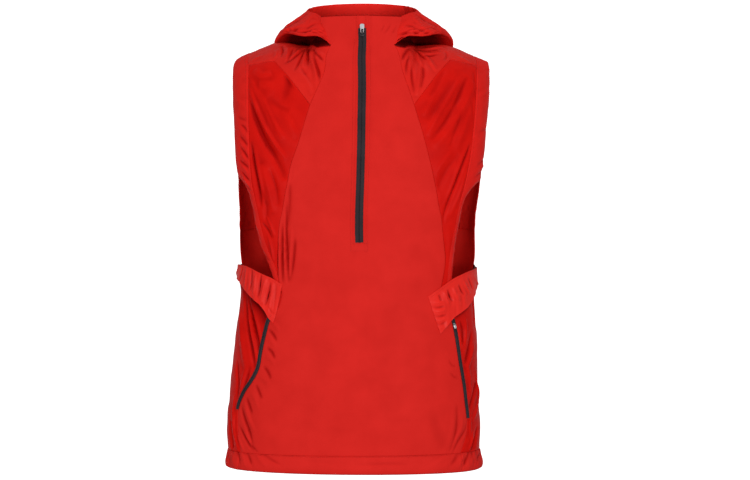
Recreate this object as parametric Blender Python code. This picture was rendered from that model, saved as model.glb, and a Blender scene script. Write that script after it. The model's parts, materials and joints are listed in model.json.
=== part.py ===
"""Sleeveless hooded half-zip vest, modelled as the separate pieces of cloth that a maker sews together.

The vest is filled out as if worn: a hollow tube of thin panels, open at the neck, armholes and hem, with the
hood lying down on the shoulders and back. Lengths are in millimetres, and angles in degrees run round the
body from the front centre (0), past the wearer's left side (90), to the back centre (180).
The origin is in the middle of the neck opening, level with the shoulder seams' neck ends. The front faces -Y.
"""

import math

import bmesh
import bpy
from mathutils import Matrix, Vector

MM = 0.001

# Driving sizes, in millimetres.
WALL = 1.5  # thickness of one panel
BAND_WALL = 2.4  # thickness of a folded band
SEAM_GAP = 0.4  # space between two pieces that are sewn together
ON_PANEL = 0.4  # space under a piece that lies on a panel
COLLAR_TOP = 37
HEM_STITCH = -656
HEM_BOTTOM = -685
ARMHOLE_BASE = -357
ARMBAND_WIDTH = 22
BACK_BAND_END = -300
SHOULDER_ROUND = 60  # drop over which a shoulder curves from its seam into the chest or the back
NECK_HALF_WIDTH = 85
FRONT_NECK_RISE = 1.8  # how steeply the yoke climbs round the neck, in front and behind
BACK_NECK_RISE = 1.2
BACK_NECK_DROP = 8  # how far the neck seam dips at the back's middle
YOKE_NECK_DIP = 2  # sag of the yoke's neck edge between its ends
SIDE_SEAM_ANGLE = 97
BACK_BAND_CUT = (3, 26)  # drops from the back armband's end to its outer corner and to the next point below

# Cross-sections of the body, top to bottom. A depth is measured from the shoulder plane to the middle of the
# front or back, and an edge is how far the section's side lies from that plane, where the armhole parts it.
# A squareness of 1 is an ellipse, and less is boxier.
BODY_COLUMNS = (
    "centre", "half_width", "front", "front_edge", "front_square", "back", "back_edge", "back_square",
)
BODY = {
    45: (0, 88, 73, 0, 1.0, 70, 0, 1.0),
    15: (0, 135, 76, 0, 1.0, 70, 0, 1.0),
    -8: (0, 185, 80, 10, 1.0, 74, 10, 1.0),
    -28: (-2, 208, 86, 22, 1.0, 82, 30, 1.0),
    -73: (-2, 207, 102, 28, 0.95, 98, 40, 0.95),
    -125: (-3, 205, 112, 32, 0.9, 108, 46, 0.9),
    -178: (-5, 201, 118, 34, 0.85, 113, 48, 0.85),
    -230: (-7, 196, 120, 32, 0.8, 114, 48, 0.8),
    -269: (-9, 192, 121, 26, 0.78, 113, 44, 0.78),
    -308: (-10, 190, 121, 14, 0.77, 111, 32, 0.77),
    -354: (-9, 190, 121, 0, 0.76, 109, 0, 0.76),
    -399: (-8, 189, 120, 0, 0.76, 107, 0, 0.76),
    -464: (-11, 195, 119, 0, 0.76, 106, 0, 0.78),
    -517: (-13, 198, 118, 0, 0.76, 106, 0, 0.78),
    -569: (-15, 201, 117, 0, 0.76, 107, 0, 0.78),
    -621: (-15, 205, 116, 0, 0.76, 108, 0, 0.78),
    -657: (-15, 204, 115, 0, 0.76, 108, 0, 0.78),
    -685: (-15, 209, 115, 0, 0.76, 109, 0, 0.78),
}

# Height of the shoulder seam at a distance from the body's centre line.
SHOULDER_LINE = {85: 0, 95: 1, 118: 2, 145: -3, 175: -15, 208: -28}

# Seam lines of the front, as (across, height) on the cloth, left side then right side of the picture.
FRONT_SEAM = {
    "left": {
        "collar": ((-67, 38), (-58, 16), (-49, -8)),
        "yoke": ((-49, -8), (-58, -50), (-82, -105)),
        "chest": ((-82, -105), (-102, -172), (-112, -198), (-117, -232), (-125, -268), (-131, -304),
                  (-134, -350), (-132, -382), (-126, -402)),
        "side": ((-126, -402), (-131, -426), (-147, -440), (-160, -492), (-164, -520), (-174, -539),
                 (-189, -560), (-199, -584), (-199, -620), (-195, HEM_STITCH)),
    },
    "right": {
        "collar": ((63, 38), (56, 16), (51, -8)),
        "yoke": ((51, -8), (63, -50), (82, -105)),
        "chest": ((82, -105), (94, -144), (113, -221), (126, -286), (133, -350), (124, -402)),
        "side": ((124, -402), (132, -426), (143, -440), (150, -476), (155, -510), (163, -555), (168, -598),
                 (168, -622), (162, -640), (157, HEM_STITCH)),
    },
}
YOKE_CORNER = {"left": (-140, -32), "right": (141, -29)}
ARMBAND_SEAM = {
    "left": ((-182, -37), (-181, -127), (-179, -182), (-175, -229), (-167, -263), (-159, -302),
             (-148, -337), (-134, -365), (-132, -386)),
    "right": ((184, -37), (179, -127), (172, -182), (163, -229), (154, -262), (147, -300),
              (139, -337), (136, -365), (135, -388)),
}
ARMHOLE_EDGE = {  # below the height where the front edge leaves the side of the body
    "left": ((-198, -206), (-187, -229), (-176, -278), (-168, -323), (-160, -343), (-148, -356),
             (-140, -382)),
    "right": ((185, -222), (172, -238), (163, -262), (161, -286), (152, -329), (148, -350), (143, -384)),
}
# Gathered flap at the armhole's base, as (angle, height): its top edge and its free lower edge.
FLAP_TOP = {
    "left": ((38, -388), (44, -378), (51, -372), (58, -365), (66, -358), (82, -354), (97, -352)),
    "right": ((36, -407), (43, -394), (52, -379), (59, -373), (66, -367), (82, -360), (97, -356)),
}
FLAP_LOW = {
    "left": ((41, -457), (46, -441), (48, -431), (53, -419), (61, -408), (76, -385), (97, -373)),
    "right": ((43, -466), (48, -452), (53, -439), (60, -431), (67, -422), (84, -393), (97, -376)),
}
SIDE_TOP = ((62, -373), (72, -367), (84, -362))  # the panel's top edge, hidden behind the flap
FLAP_FLARE = 5.0  # how far the free lower edge stands off the panel below

# Facets along each stretch of seam and across each kind of piece.
STEPS = {
    "collar": 4, "yoke": 5, "chest": 8, "side": 11, "front": 14, "across": 8, "shoulder": 4, "back_neck": 8,
    "band": 3, "flap_across": 10, "flap_down": 4, "hem": 2, "hood_round": 16, "hood_loop": 13,
}

# Hood lying down. Its rim and neck seam are rings, and the cloth between them hangs as a loop that these rows
# shape: how far it reaches out over the shoulder and how far it drops, first on top and then underneath.
RIM = {"half_width": 88, "front": 74, "back": 72, "front_height": COLLAR_TOP, "back_height": 75}
RIM_START, NECK_START = 48, 36
HOOD_COLUMNS = ("angle", "over_out", "over_down", "under_out", "under_down")
HOOD = (
    (48, 2, 12, 2, -12),
    (60, 10, 12, 26, -7),
    (74, 20, 10, 66, -6),
    (90, 30, 8, 106, -2),
    (110, 38, 16, 122, 46),
    (130, 42, 32, 148, 165),
    (155, 44, 44, 162, 285),
    (180, 46, 50, 166, 325),
)
HOOD_REST = 3.0  # space between the hood's underside and the shoulders and back it rests on
HOOD_REST_SLOPE = 0.35  # fall of the hood's underside, away from the shoulder seam
NECK_STAND = 1.2  # height of the hood's seam over the neck edge it is sewn to
HOOD_HEM_WIDTH = 20

# Zips: (across, height) of the front zip's ends, and the tapes' widths.
FRONT_ZIP = ((0, 14), (-4, -320))
POCKET_ZIP_ENDS = {"left": (-436, -590), "right": (-438, -604)}  # heights
FRONT_ZIP_WIDTH = 13
POCKET_ZIP_WIDTH = 6.5
ZIP_WALL = 1.2
SLIDER = {"width": 10, "height": 12, "floor": 1.65, "rod": 0.66, "bridge": 2.4, "bridge_wall": 0.75,
          "bridge_height": 3.3, "play": 0.3, "pull_width": 7, "pull_length": 14}
SLIDER_AT = (0, 10)  # (across, height) of the front zip's slider
POCKET_SLIDER_SCALE = 0.62
POCKET_SLIDER_DROP = 5  # distance of the pocket zip's slider below the zip's top end


def clear_scene():
    for thing in list(bpy.data.objects):
        bpy.data.objects.remove(thing, do_unlink=True)


def between(table, at):
    """Value at a place in a {place: value} table, smooth and without overshoot."""
    places = sorted(table)
    values = [table[p] for p in places]
    if at <= places[0]:
        return values[0]
    if at >= places[-1]:
        return values[-1]
    rises = [(b - a) / (q - p) for a, b, p, q in zip(values, values[1:], places, places[1:])]
    k = max(i for i in range(len(rises)) if places[i] <= at)

    def slope(i):
        if i in (0, len(rises)):
            return rises[min(i, len(rises) - 1)]
        low, high = rises[i - 1], rises[i]
        return 2 * low * high / (low + high) if low * high > 0 else 0.0

    span = places[k + 1] - places[k]
    t = (at - places[k]) / span
    return (values[k] * (1 + 2 * t) * (1 - t) ** 2 + slope(k) * span * t * (1 - t) ** 2
            + values[k + 1] * t * t * (3 - 2 * t) + slope(k + 1) * span * t * t * (t - 1))


def section(height):
    """The body's cross-section at a height, as a dictionary of its columns."""
    return {
        name: between({h: row[i] for h, row in BODY.items()}, height) for i, name in enumerate(BODY_COLUMNS)
    }


SECTIONS = {}


def section_at(height):
    key = round(height, 3)
    if key not in SECTIONS:
        SECTIONS[key] = section(key)
    return SECTIONS[key]


def shoulder_height(across, neck_rise):
    """Height of the cloth's top edge at a distance from the centre line: the shoulder, then the neck."""
    if across < NECK_HALF_WIDTH:
        return neck_rise * (NECK_HALF_WIDTH - across)
    return between(SHOULDER_LINE, across)


def rounding(drop):
    """Share of the full depth that the cloth has reached at a drop below the shoulder seam."""
    t = min(max(drop / SHOULDER_ROUND, 0.0), 1.0)
    return math.sqrt(1 - (1 - t) ** 2)


def skin(angle, height, back=False, collar=False):
    """Point of the garment's outer face. back picks the back half's edge at the side, and collar leaves out
    the rounding of the shoulders, for the front panel that runs on up into the collar."""
    s = section_at(height)
    turn = math.radians(angle)
    forward = math.cos(turn)
    x = s["centre"] + s["half_width"] * math.sin(turn)
    behind = forward < -1e-9 or (back and forward < 1e-9)
    side, rise = ("back", BACK_NECK_RISE) if behind else ("front", FRONT_NECK_RISE)
    depth = s[side + "_edge"] + (s[side] - s[side + "_edge"]) * max(abs(forward), 1e-9) ** s[side + "_square"]
    if not collar:
        depth *= rounding(shoulder_height(abs(x - s["centre"]), rise) - height)
    return Vector((x, depth if behind else -depth, height))


def outward(angle, height, back=False, collar=False):
    """Direction pointing away from the body at a place on the garment."""
    s = section_at(height)
    x = s["centre"] + s["half_width"] * math.sin(math.radians(angle))
    across = abs(x - s["centre"])
    rise = BACK_NECK_RISE if back else FRONT_NECK_RISE
    if not collar and across >= NECK_HALF_WIDTH - 1 and shoulder_height(across, rise) - height < 1.0:
        fall = shoulder_height(across + 2, rise) - shoulder_height(across - 2, rise)
        return Vector((-math.copysign(fall / 4, x), 0, 1)).normalized()
    step = 0.6
    low, high = angle - step, angle + step
    if abs(math.cos(math.radians(angle))) < math.sin(math.radians(step)) and s["front_edge"] > 1:
        turned = step if back and angle % 360 < 180 else -step
        low, high = sorted((angle, angle + turned))
    along = skin(high, height, back, collar) - skin(low, height, back, collar)
    down = skin(angle, height - 1.5, back, collar) - skin(angle, height - 0.1, back, collar)
    return down.cross(along).normalized()


def place_on_front(point):
    """(angle, height) of an (across, height) point of the front."""
    x, height = point
    s = section_at(height)
    share = max(-1.0, min(1.0, (x - s["centre"]) / s["half_width"]))
    return math.degrees(math.asin(share)), height


def resample(line, steps):
    """steps + 1 points spread evenly along a line of 2-D points, its sharp corners kept where they fall."""
    lengths = [0.0]
    for a, b in zip(line, line[1:]):
        lengths.append(lengths[-1] + math.dist(a, b))
    result = []
    for k in range(steps + 1):
        at = lengths[-1] * k / steps
        i = max(j for j in range(len(line) - 1) if lengths[j] <= at + 1e-9)
        t = (at - lengths[i]) / (lengths[i + 1] - lengths[i])
        result.append(tuple(p + (q - p) * t for p, q in zip(line[i], line[i + 1])))
    return result


def coons(first, last, left, right):
    """Grid of (angle, height) places inside four border lines. first and last run left to right, and left and
    right run from first to last."""
    rows, columns = len(left) - 1, len(first) - 1
    grid = []
    for i in range(rows + 1):
        v = i / rows
        row = []
        for j in range(columns + 1):
            u = j / columns
            row.append(tuple(
                (1 - v) * first[j][k] + v * last[j][k] + (1 - u) * left[i][k] + u * right[i][k]
                - (1 - u) * (1 - v) * first[0][k] - u * (1 - v) * first[-1][k]
                - (1 - u) * v * last[0][k] - u * v * last[-1][k]
                for k in range(2)
            ))
        grid.append(row)
    return grid


def draw_in(points, gap):
    """Each side of a grid of points moved inwards by a gap, within its own surface."""
    rows, columns = len(points), len(points[0])
    moved = [[p.copy() for p in row] for row in points]

    def shift(i, j, di, dj, along):
        inner = points[i + di][j + dj] - points[i][j]
        inner -= along * inner.dot(along)
        moved[i][j] += inner.normalized() * gap

    for j in range(columns):
        for i, di in ((0, 1), (rows - 1, -1)):
            along = (points[i][min(j + 1, columns - 1)] - points[i][max(j - 1, 0)]).normalized()
            shift(i, j, di, 0, along)
    for i in range(rows):
        for j, dj in ((0, 1), (columns - 1, -1)):
            along = (points[min(i + 1, rows - 1)][j] - points[max(i - 1, 0)][j]).normalized()
            shift(i, j, 0, dj, along)
    return moved


MATERIALS = {
    "shell_cloth": ((0.64, 0.028, 0.02), 0.55, 0.0),
    "thin_cloth": ((0.5, 0.012, 0.008), 0.45, 0.0),
    "gathered_cloth": ((0.68, 0.04, 0.03), 0.38, 0.0),
    "zip_tape": ((0.02, 0.022, 0.03), 0.6, 0.0),
    "slider_metal": ((0.25, 0.25, 0.27), 0.35, 1.0),
    "pull_metal": ((0.75, 0.76, 0.75), 0.3, 1.0),
}


def finish(name):
    colour, roughness, metallic = MATERIALS[name]
    if name in bpy.data.materials:
        return bpy.data.materials[name]
    material = bpy.data.materials.new(name)
    material.use_nodes = True
    shader = material.node_tree.nodes["Principled BSDF"]
    shader.inputs["Base Color"].default_value = (*colour, 1)
    shader.inputs["Roughness"].default_value = roughness
    shader.inputs["Metallic"].default_value = metallic
    return material


def add_object(name, mesh, material):
    mesh.materials.append(finish(material))
    piece = bpy.data.objects.new(name, mesh)
    bpy.context.collection.objects.link(piece)
    return piece


def shell(name, outer, inner, material):
    """A closed sheet of cloth between two matching grids of points in millimetres."""
    rows, columns = len(outer), len(outer[0])
    mesh = bpy.data.meshes.new(name)
    cloth = bmesh.new()
    top = [[cloth.verts.new(p * MM) for p in row] for row in outer]
    under = [[cloth.verts.new(p * MM) for p in row] for row in inner]
    for i in range(rows - 1):
        for j in range(columns - 1):
            cloth.faces.new((top[i][j], top[i + 1][j], top[i + 1][j + 1], top[i][j + 1]))
            cloth.faces.new((under[i][j], under[i][j + 1], under[i + 1][j + 1], under[i + 1][j]))
    rim = [(0, j) for j in range(columns)] + [(i, columns - 1) for i in range(1, rows)]
    rim += [(rows - 1, j) for j in range(columns - 2, -1, -1)] + [(i, 0) for i in range(rows - 2, 0, -1)]
    for (a, b), (c, d) in zip(rim, rim[1:] + rim[:1]):
        cloth.faces.new((top[a][b], top[c][d], under[c][d], under[a][b]))
    bmesh.ops.triangulate(cloth, faces=cloth.faces[:])
    bmesh.ops.recalc_face_normals(cloth, faces=cloth.faces[:])
    cloth.to_mesh(mesh)
    cloth.free()
    mesh.shade_smooth()
    mesh.set_sharp_from_angle(angle=math.radians(50))
    return add_object(name, mesh, material)


def panel(name, places, material, wall=WALL, back=False, collar=False, out=None):
    """A piece of cloth over a grid of (angle, height) places. out lifts it off the garment's outer face."""
    points = draw_in([[skin(*place, back, collar) for place in row] for row in places], SEAM_GAP / 2)
    away = [[outward(*place, back, collar) for place in row] for row in places]
    lift = out or (lambda i, j: 0.0)
    cells = range(len(places)), range(len(places[0]))
    outer = [[points[i][j] + away[i][j] * lift(i, j) for j in cells[1]] for i in cells[0]]
    inner = [[outer[i][j] - away[i][j] * wall for j in cells[1]] for i in cells[0]]
    return shell(name, outer, inner, material)


def seam(side, *names):
    """Places along the front panel's side seam, over the named stretches."""
    places = []
    for name in names:
        stretch = [place_on_front(p) for p in resample(FRONT_SEAM[side][name], STEPS[name])]
        places += stretch[1:] if places else stretch
    return places


def sign(side):
    return -1 if side == "left" else 1


def shoulder_seam(side, start, end, steps):
    """Places along the shoulder seam between two distances from the centre line."""
    places = []
    for k in range(steps + 1):
        across = start + (end - start) * k / steps
        height = between(SHOULDER_LINE, across)
        x = section_at(height)["centre"] + sign(side) * across
        places.append(place_on_front((x, height)))
    return places


SHOULDER_AT_BAND = 208 - ARMBAND_WIDTH - 3


def front_panel():
    """The front's middle panel. Its columns follow the front zip, which leans a little."""
    left = seam("left", "collar", "yoke", "chest", "side")
    right = seam("right", "collar", "yoke", "chest", "side")
    columns = STEPS["front"]
    (start, top), (end, low) = FRONT_ZIP
    rows = []
    for a, b in zip(left, right):
        height = (a[1] + b[1]) / 2
        lean = start + (end - start) * min(max((top - height) / (top - low), 0.0), 1.0)
        middle = place_on_front((lean, height))
        row = []
        for j in range(columns + 1):
            t = j / columns
            weights = (2 * (t - 0.5) * (t - 1), 4 * t * (1 - t), 2 * t * (t - 0.5))
            row.append(tuple(sum(w * p[k] for w, p in zip(weights, (a, middle, b))) for k in range(2)))
        rows.append(row)
    panel("front_panel", rows, "shell_cloth", collar=True)
    return rows


def neck_seam(side, steps):
    """Places along the yoke's neck edge, from the shoulder seam to the front panel."""
    ends = (sign(side) * NECK_HALF_WIDTH, 0.0), FRONT_SEAM[side]["yoke"][0]
    places = []
    for k in range(steps + 1):
        t = k / steps
        x, height = (a + (b - a) * t for a, b in zip(*ends))
        places.append(place_on_front((x, height - YOKE_NECK_DIP * math.sin(math.pi * t))))
    return places


def yoke(side):
    inner = seam(side, "yoke")
    half = STEPS["across"] // 2
    top = shoulder_seam(side, SHOULDER_AT_BAND, NECK_HALF_WIDTH, half) + neck_seam(side, half)[1:]
    low = yoke_low(side)
    outer = [place_on_front(p) for p in resample((front_point(top[0]), ARMBAND_SEAM[side][0]), STEPS["yoke"])]
    top[-1] = inner[0]
    panel("yoke_" + side, coons(top, low, outer, inner), "gathered_cloth")


def front_point(place):
    p = skin(*place)
    return p.x, p.z


def yoke_low(side):
    """Places along the yoke's lower edge, from the armband to its tip."""
    line = ARMBAND_SEAM[side][0], YOKE_CORNER[side], FRONT_SEAM[side]["yoke"][-1]
    short = [place_on_front(p) for p in resample(line[:2], STEPS["band"])]
    return short + [place_on_front(p) for p in resample(line[1:], STEPS["across"] - STEPS["band"])][1:]


def chest(side):
    inner = seam(side, "chest")
    outer = [place_on_front(p) for p in resample(ARMBAND_SEAM[side], STEPS["chest"])]
    low = resample((outer[-1], inner[-1]), STEPS["across"])
    panel("chest_" + side, coons(yoke_low(side), low, outer, inner), "thin_cloth")


def armband_front(side):
    top = [place_on_front(p) for p in resample(
        (front_point(shoulder_seam(side, SHOULDER_AT_BAND, NECK_HALF_WIDTH, 1)[0]), ARMBAND_SEAM[side][0]),
        STEPS["yoke"])]
    inner = top + [place_on_front(p) for p in resample(ARMBAND_SEAM[side], STEPS["chest"])][1:]
    leave = ARMHOLE_EDGE[side][0]
    shoulder_end = SHOULDER_LINE[208]
    edge = []
    for place in inner:
        height = place[1]
        if height > leave[1]:
            share = (inner[0][1] - height) / (inner[0][1] - leave[1])
            edge.append((sign(side) * 90, shoulder_end + (leave[1] - shoulder_end) * share))
    rest = resample(ARMHOLE_EDGE[side], len(inner) - len(edge))
    edge += [place_on_front(p) for p in rest[1:]]
    first = shoulder_seam(side, 208, SHOULDER_AT_BAND, STEPS["band"])
    first[0], first[-1] = edge[0], inner[0]
    last = resample((edge[-1], inner[-1]), STEPS["band"])
    panel("armband_front_" + side, coons(first, last, edge, inner), "shell_cloth", wall=WALL)


def edge_angle(side):
    """Angle of the body's side, as the back's pieces meet it."""
    return 270 if side == "left" else 90


def around_back(place):
    """The same place as seen from behind, with angles that run through the back centre."""
    angle, height = place
    return (180 - angle) % 360, height


def back_band_seam(side):
    """Places down the back armband's seam, from the shoulder to the band's end."""
    places = []
    start = shoulder_seam(side, SHOULDER_AT_BAND, NECK_HALF_WIDTH, 1)[0]
    steps = STEPS["chest"]
    for k in range(steps + 1):
        height = start[1] + (BACK_BAND_END - start[1]) * k / steps
        s = section_at(height)
        inset = SHOULDER_AT_BAND if k == 0 else s["half_width"] - ARMBAND_WIDTH
        x = s["centre"] + sign(side) * inset
        places.append(around_back(place_on_front((x, height))))
    return places


def armband_back(side):
    inner = back_band_seam(side)
    edge = [(edge_angle(side), h) for _, h in inner]
    edge[0] = (edge[0][0], SHOULDER_LINE[208])
    edge[-1] = (edge[-1][0], BACK_BAND_END - BACK_BAND_CUT[0])
    first = [around_back(p) for p in shoulder_seam(side, 208, SHOULDER_AT_BAND, STEPS["band"])]
    first[0], first[-1] = edge[0], inner[0]
    last = resample((edge[-1], inner[-1]), STEPS["band"])
    panel("armband_back_" + side, coons(first, last, edge, inner), "shell_cloth", back=True)


def side_seam(side, steps):
    """Places down the side seam, from the armhole's base to the hem's stitching."""
    angle = 360 - SIDE_SEAM_ANGLE if side == "left" else SIDE_SEAM_ANGLE
    return [(angle, ARMHOLE_BASE + (HEM_STITCH - ARMHOLE_BASE) * k / steps) for k in range(steps + 1)]


def back_panel():
    borders = {}
    for side in ("left", "right"):
        corner, below = ((edge_angle(side), BACK_BAND_END - drop) for drop in BACK_BAND_CUT)
        band = back_band_seam(side)
        band_end = resample((corner, band[-1]), STEPS["band"])[::-1]
        borders[side] = band + band_end[1:] + [below] + side_seam(side, STEPS["side"])
    neck = []
    for k in range(STEPS["back_neck"] + 1):
        t = 1 - 2 * k / STEPS["back_neck"]
        x = -NECK_HALF_WIDTH * math.sin(math.pi / 2 * t)
        neck.append(around_back(place_on_front((x, -BACK_NECK_DROP * math.cos(math.pi / 2 * t)))))
    left_shoulder = shoulder_seam("left", SHOULDER_AT_BAND, NECK_HALF_WIDTH, STEPS["shoulder"])
    right_shoulder = shoulder_seam("right", NECK_HALF_WIDTH, SHOULDER_AT_BAND, STEPS["shoulder"])
    first = [around_back(p) for p in left_shoulder] + neck[1:] + [around_back(p) for p in right_shoulder][1:]
    columns = len(first) - 1
    left_end, right_end = borders["left"][-1][0], borders["right"][-1][0]
    last = [(left_end + (right_end - left_end) * j / columns, HEM_STITCH) for j in range(columns + 1)]
    panel("back_panel", coons(first, last, borders["left"], borders["right"]), "shell_cloth", back=True)
    return last


def side_panel(side):
    front = seam(side, "side")
    turn = sign(side)
    back = [(turn * SIDE_SEAM_ANGLE, height) for _, height in side_seam(side, STEPS["side"])]
    corner = place_on_front(ARMBAND_SEAM[side][-1])
    edge_end = place_on_front(ARMHOLE_EDGE[side][-1])
    base = [(turn * angle, height) for angle, height in SIDE_TOP]
    first = [front[0], corner, edge_end] + base + [back[0]]
    columns = len(first) - 1
    start, end = front[-1][0], back[-1][0]
    last = [(start + (end - start) * j / columns, HEM_STITCH) for j in range(columns + 1)]
    places = coons(first, last, front, back)
    panel("side_" + side, places, "thin_cloth")
    return last


def flap(side):
    """The gathered piece over the armhole's base, whose lower edge hangs free of the panel below."""
    turn = sign(side)
    steps, rows = STEPS["flap_across"], STEPS["flap_down"]
    top = resample([(turn * a, h) for a, h in FLAP_TOP[side]], steps)
    low = resample([(turn * a, h) for a, h in FLAP_LOW[side]], steps)
    left = resample((top[0], low[0]), rows)
    right = resample((top[-1], low[-1]), rows)
    lift = ON_PANEL + WALL

    def off(i, j):
        return lift + (FLAP_FLARE - lift) * (i / rows) * min(1.0, 0.25 + j / steps * 2)

    panel("flap_" + side, coons(top, low, left, right), "gathered_cloth", out=off)


def hem(name, top, back=False, collar=False):
    """A folded band below the stitching line, from the pieces above it down to the bottom edge."""
    rows = STEPS["hem"]
    places = [[(a, h + (HEM_BOTTOM - h) * i / rows) for a, h in top] for i in range(rows + 1)]
    panel(name, places, "shell_cloth", wall=BAND_WALL, back=back, collar=collar)


def strip(name, places, half_width, material, wall, back=False, collar=False, rise=ON_PANEL):
    """A narrow tape lying on the cloth along a line of places."""
    points = [skin(*p, back, collar) for p in places]
    rows = []
    for i, place in enumerate(places):
        away = outward(*place, back, collar)
        along = points[min(i + 1, len(points) - 1)] - points[max(i - 1, 0)]
        across = along.cross(away).normalized()
        rows.append([(points[i] + across * half_width * side, away) for side in (-1, 1)])
    inner = [[p + away * rise for p, away in row] for row in rows]
    outer = [[p + away * (rise + wall) for p, away in row] for row in rows]
    return shell(name, outer, inner, material)


def pocket_zip(side):
    places = seam(side, "side")
    top, low = POCKET_ZIP_ENDS[side]
    chosen = [p for p in places if low <= p[1] <= top]
    strip("pocket_zip_" + side, chosen, POCKET_ZIP_WIDTH / 2, "zip_tape", ZIP_WALL)
    return chosen


def front_zip(panel_rows):
    middle = [row[len(row) // 2] for row in panel_rows]
    chosen = [p for p in middle if FRONT_ZIP[1][1] - 8 <= p[1] <= FRONT_ZIP[0][1] + 4]
    strip("front_zip", chosen, FRONT_ZIP_WIDTH / 2, "zip_tape", ZIP_WALL, collar=True)
    return chosen


def hood_row(angle):
    """The hood table's values at an angle."""
    return {
        name: between({row[0]: row[i] for row in HOOD}, angle) for i, name in enumerate(HOOD_COLUMNS) if i
    }


def rim_point(angle, side):
    turn = math.radians(angle)
    depth = RIM["front"] if angle <= 90 else RIM["back"]
    raised = (1 - math.cos(turn)) / 2
    height = RIM["front_height"] + (RIM["back_height"] - RIM["front_height"]) * raised
    return Vector((sign(side) * RIM["half_width"] * math.sin(turn), -depth * math.cos(turn), height))


def neck_point(angle, side):
    """Where the hood is sewn to the body, at an angle round the neck."""
    turn = math.radians(angle)
    x = sign(side) * NECK_HALF_WIDTH * math.sin(turn)
    if angle < 90:
        start = FRONT_SEAM[side]["yoke"][0]
        share = (NECK_HALF_WIDTH - abs(x)) / (NECK_HALF_WIDTH - abs(start[0]))
        height = start[1] * share - YOKE_NECK_DIP * math.sin(math.pi * min(max(share, 0), 1))
        p = skin(*place_on_front((x, height)))
    else:
        height = BACK_NECK_DROP * math.cos(turn)
        p = skin(*around_back(place_on_front((x, height))), back=True)
    return p + Vector((0, 0, NECK_STAND))


def rest_on_body(point):
    """A point of the hood's underside, kept clear of the shoulders and back."""
    x, y, z = point
    s = section_at(z)
    across = abs(x - s["centre"])
    if across > s["half_width"] * 0.99:
        return point
    ridge = shoulder_height(across, FRONT_NECK_RISE)
    if across >= NECK_HALF_WIDTH and abs(y) < 25 and z < ridge + HOOD_REST:
        z = max(z, ridge + HOOD_REST - abs(y) * HOOD_REST_SLOPE)
    if y > 0:
        angle, height = around_back(place_on_front((x, z)))
        y = max(y, skin(angle, height, back=True).y + HOOD_REST)
    return Vector((x, y, z))


def hood_grid(side):
    """Points of one half of the hood: a row at each station round the neck, from the rim to the neck seam."""
    border = [skin(*p, collar=True) for p in resample(
        [place_on_front(q) for q in FRONT_SEAM[side]["collar"]], STEPS["hood_loop"])]
    rows = []
    for k in range(STEPS["hood_round"] + 1):
        share = k / STEPS["hood_round"]
        angle = RIM_START + (180 - RIM_START) * share
        shape = hood_row(angle)
        rim = rim_point(angle, side)
        neck = neck_point(NECK_START + (180 - NECK_START) * share, side)
        turn = math.radians(angle)
        out = Vector((sign(side) * math.sin(turn), -math.cos(turn), 0))
        over = rim + out * shape["over_out"] - Vector((0, 0, shape["over_down"]))
        under = neck + out * shape["under_out"] - Vector((0, 0, shape["under_down"]))
        row = []
        for i in range(STEPS["hood_loop"] + 1):
            t = i / STEPS["hood_loop"]
            p = rim * (1 - t) ** 3 + over * 3 * t * (1 - t) ** 2 + under * 3 * t * t * (1 - t) + neck * t ** 3
            if k == 0:
                p = border[i]
            elif k == 1:
                p = p * 0.6 + border[i] * 0.4
            row.append(rest_on_body(p) if t > 0.5 and k > 1 else p)
        rows.append(row)
    return rows


def grid_normals(points):
    rows, columns = len(points), len(points[0])
    result = []
    for i in range(rows):
        row = []
        for j in range(columns):
            a = points[min(i + 1, rows - 1)][j] - points[max(i - 1, 0)][j]
            b = points[i][min(j + 1, columns - 1)] - points[i][max(j - 1, 0)]
            row.append(a.cross(b).normalized())
        result.append(row)
    return result


def hood():
    hems = []
    for side in ("left", "right"):
        points = hood_grid(side)
        away = grid_normals(points)
        away = [[n * -sign(side) for n in row] for row in away]
        for n in away[-1]:
            n.x = 0
            n.normalize()
        drawn = draw_in(points, SEAM_GAP)
        outer = [[p + n * (WALL / 2) for p, n in zip(*rows)] for rows in zip(drawn, away)]
        inner = [[p - n * (WALL / 2) for p, n in zip(*rows)] for rows in zip(drawn, away)]
        shell("hood_" + side, outer, inner, "shell_cloth")
        hems.append((points, away))
    hood_hem(hems)


def hem_row(line, normals):
    """Points just inside the hood across its hem band, each with its direction outwards."""
    row = []
    passed, k = 0.0, 0
    for wanted in (0.0, HOOD_HEM_WIDTH / 2, HOOD_HEM_WIDTH):
        while passed + (line[k + 1] - line[k]).length < wanted:
            passed += (line[k + 1] - line[k]).length
            k += 1
        t = (wanted - passed) / (line[k + 1] - line[k]).length
        away = normals[k].lerp(normals[k + 1], t).normalized()
        row.append((line[k].lerp(line[k + 1], t) - away * (WALL / 2 + ON_PANEL), away))
    return row


def hood_hem(halves):
    """The band turned in along the hood's rim, from one end of the front panel's top round to the other."""
    left, right = ([hem_row(*row) for row in list(zip(*half))[2:]] for half in halves)
    rows = left + right[-2::-1]
    outer = [[p for p, _ in row] for row in rows]
    inner = [[p - away * WALL for p, away in row] for row in rows]
    shell("hood_hem", outer, inner, "shell_cloth")


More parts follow.
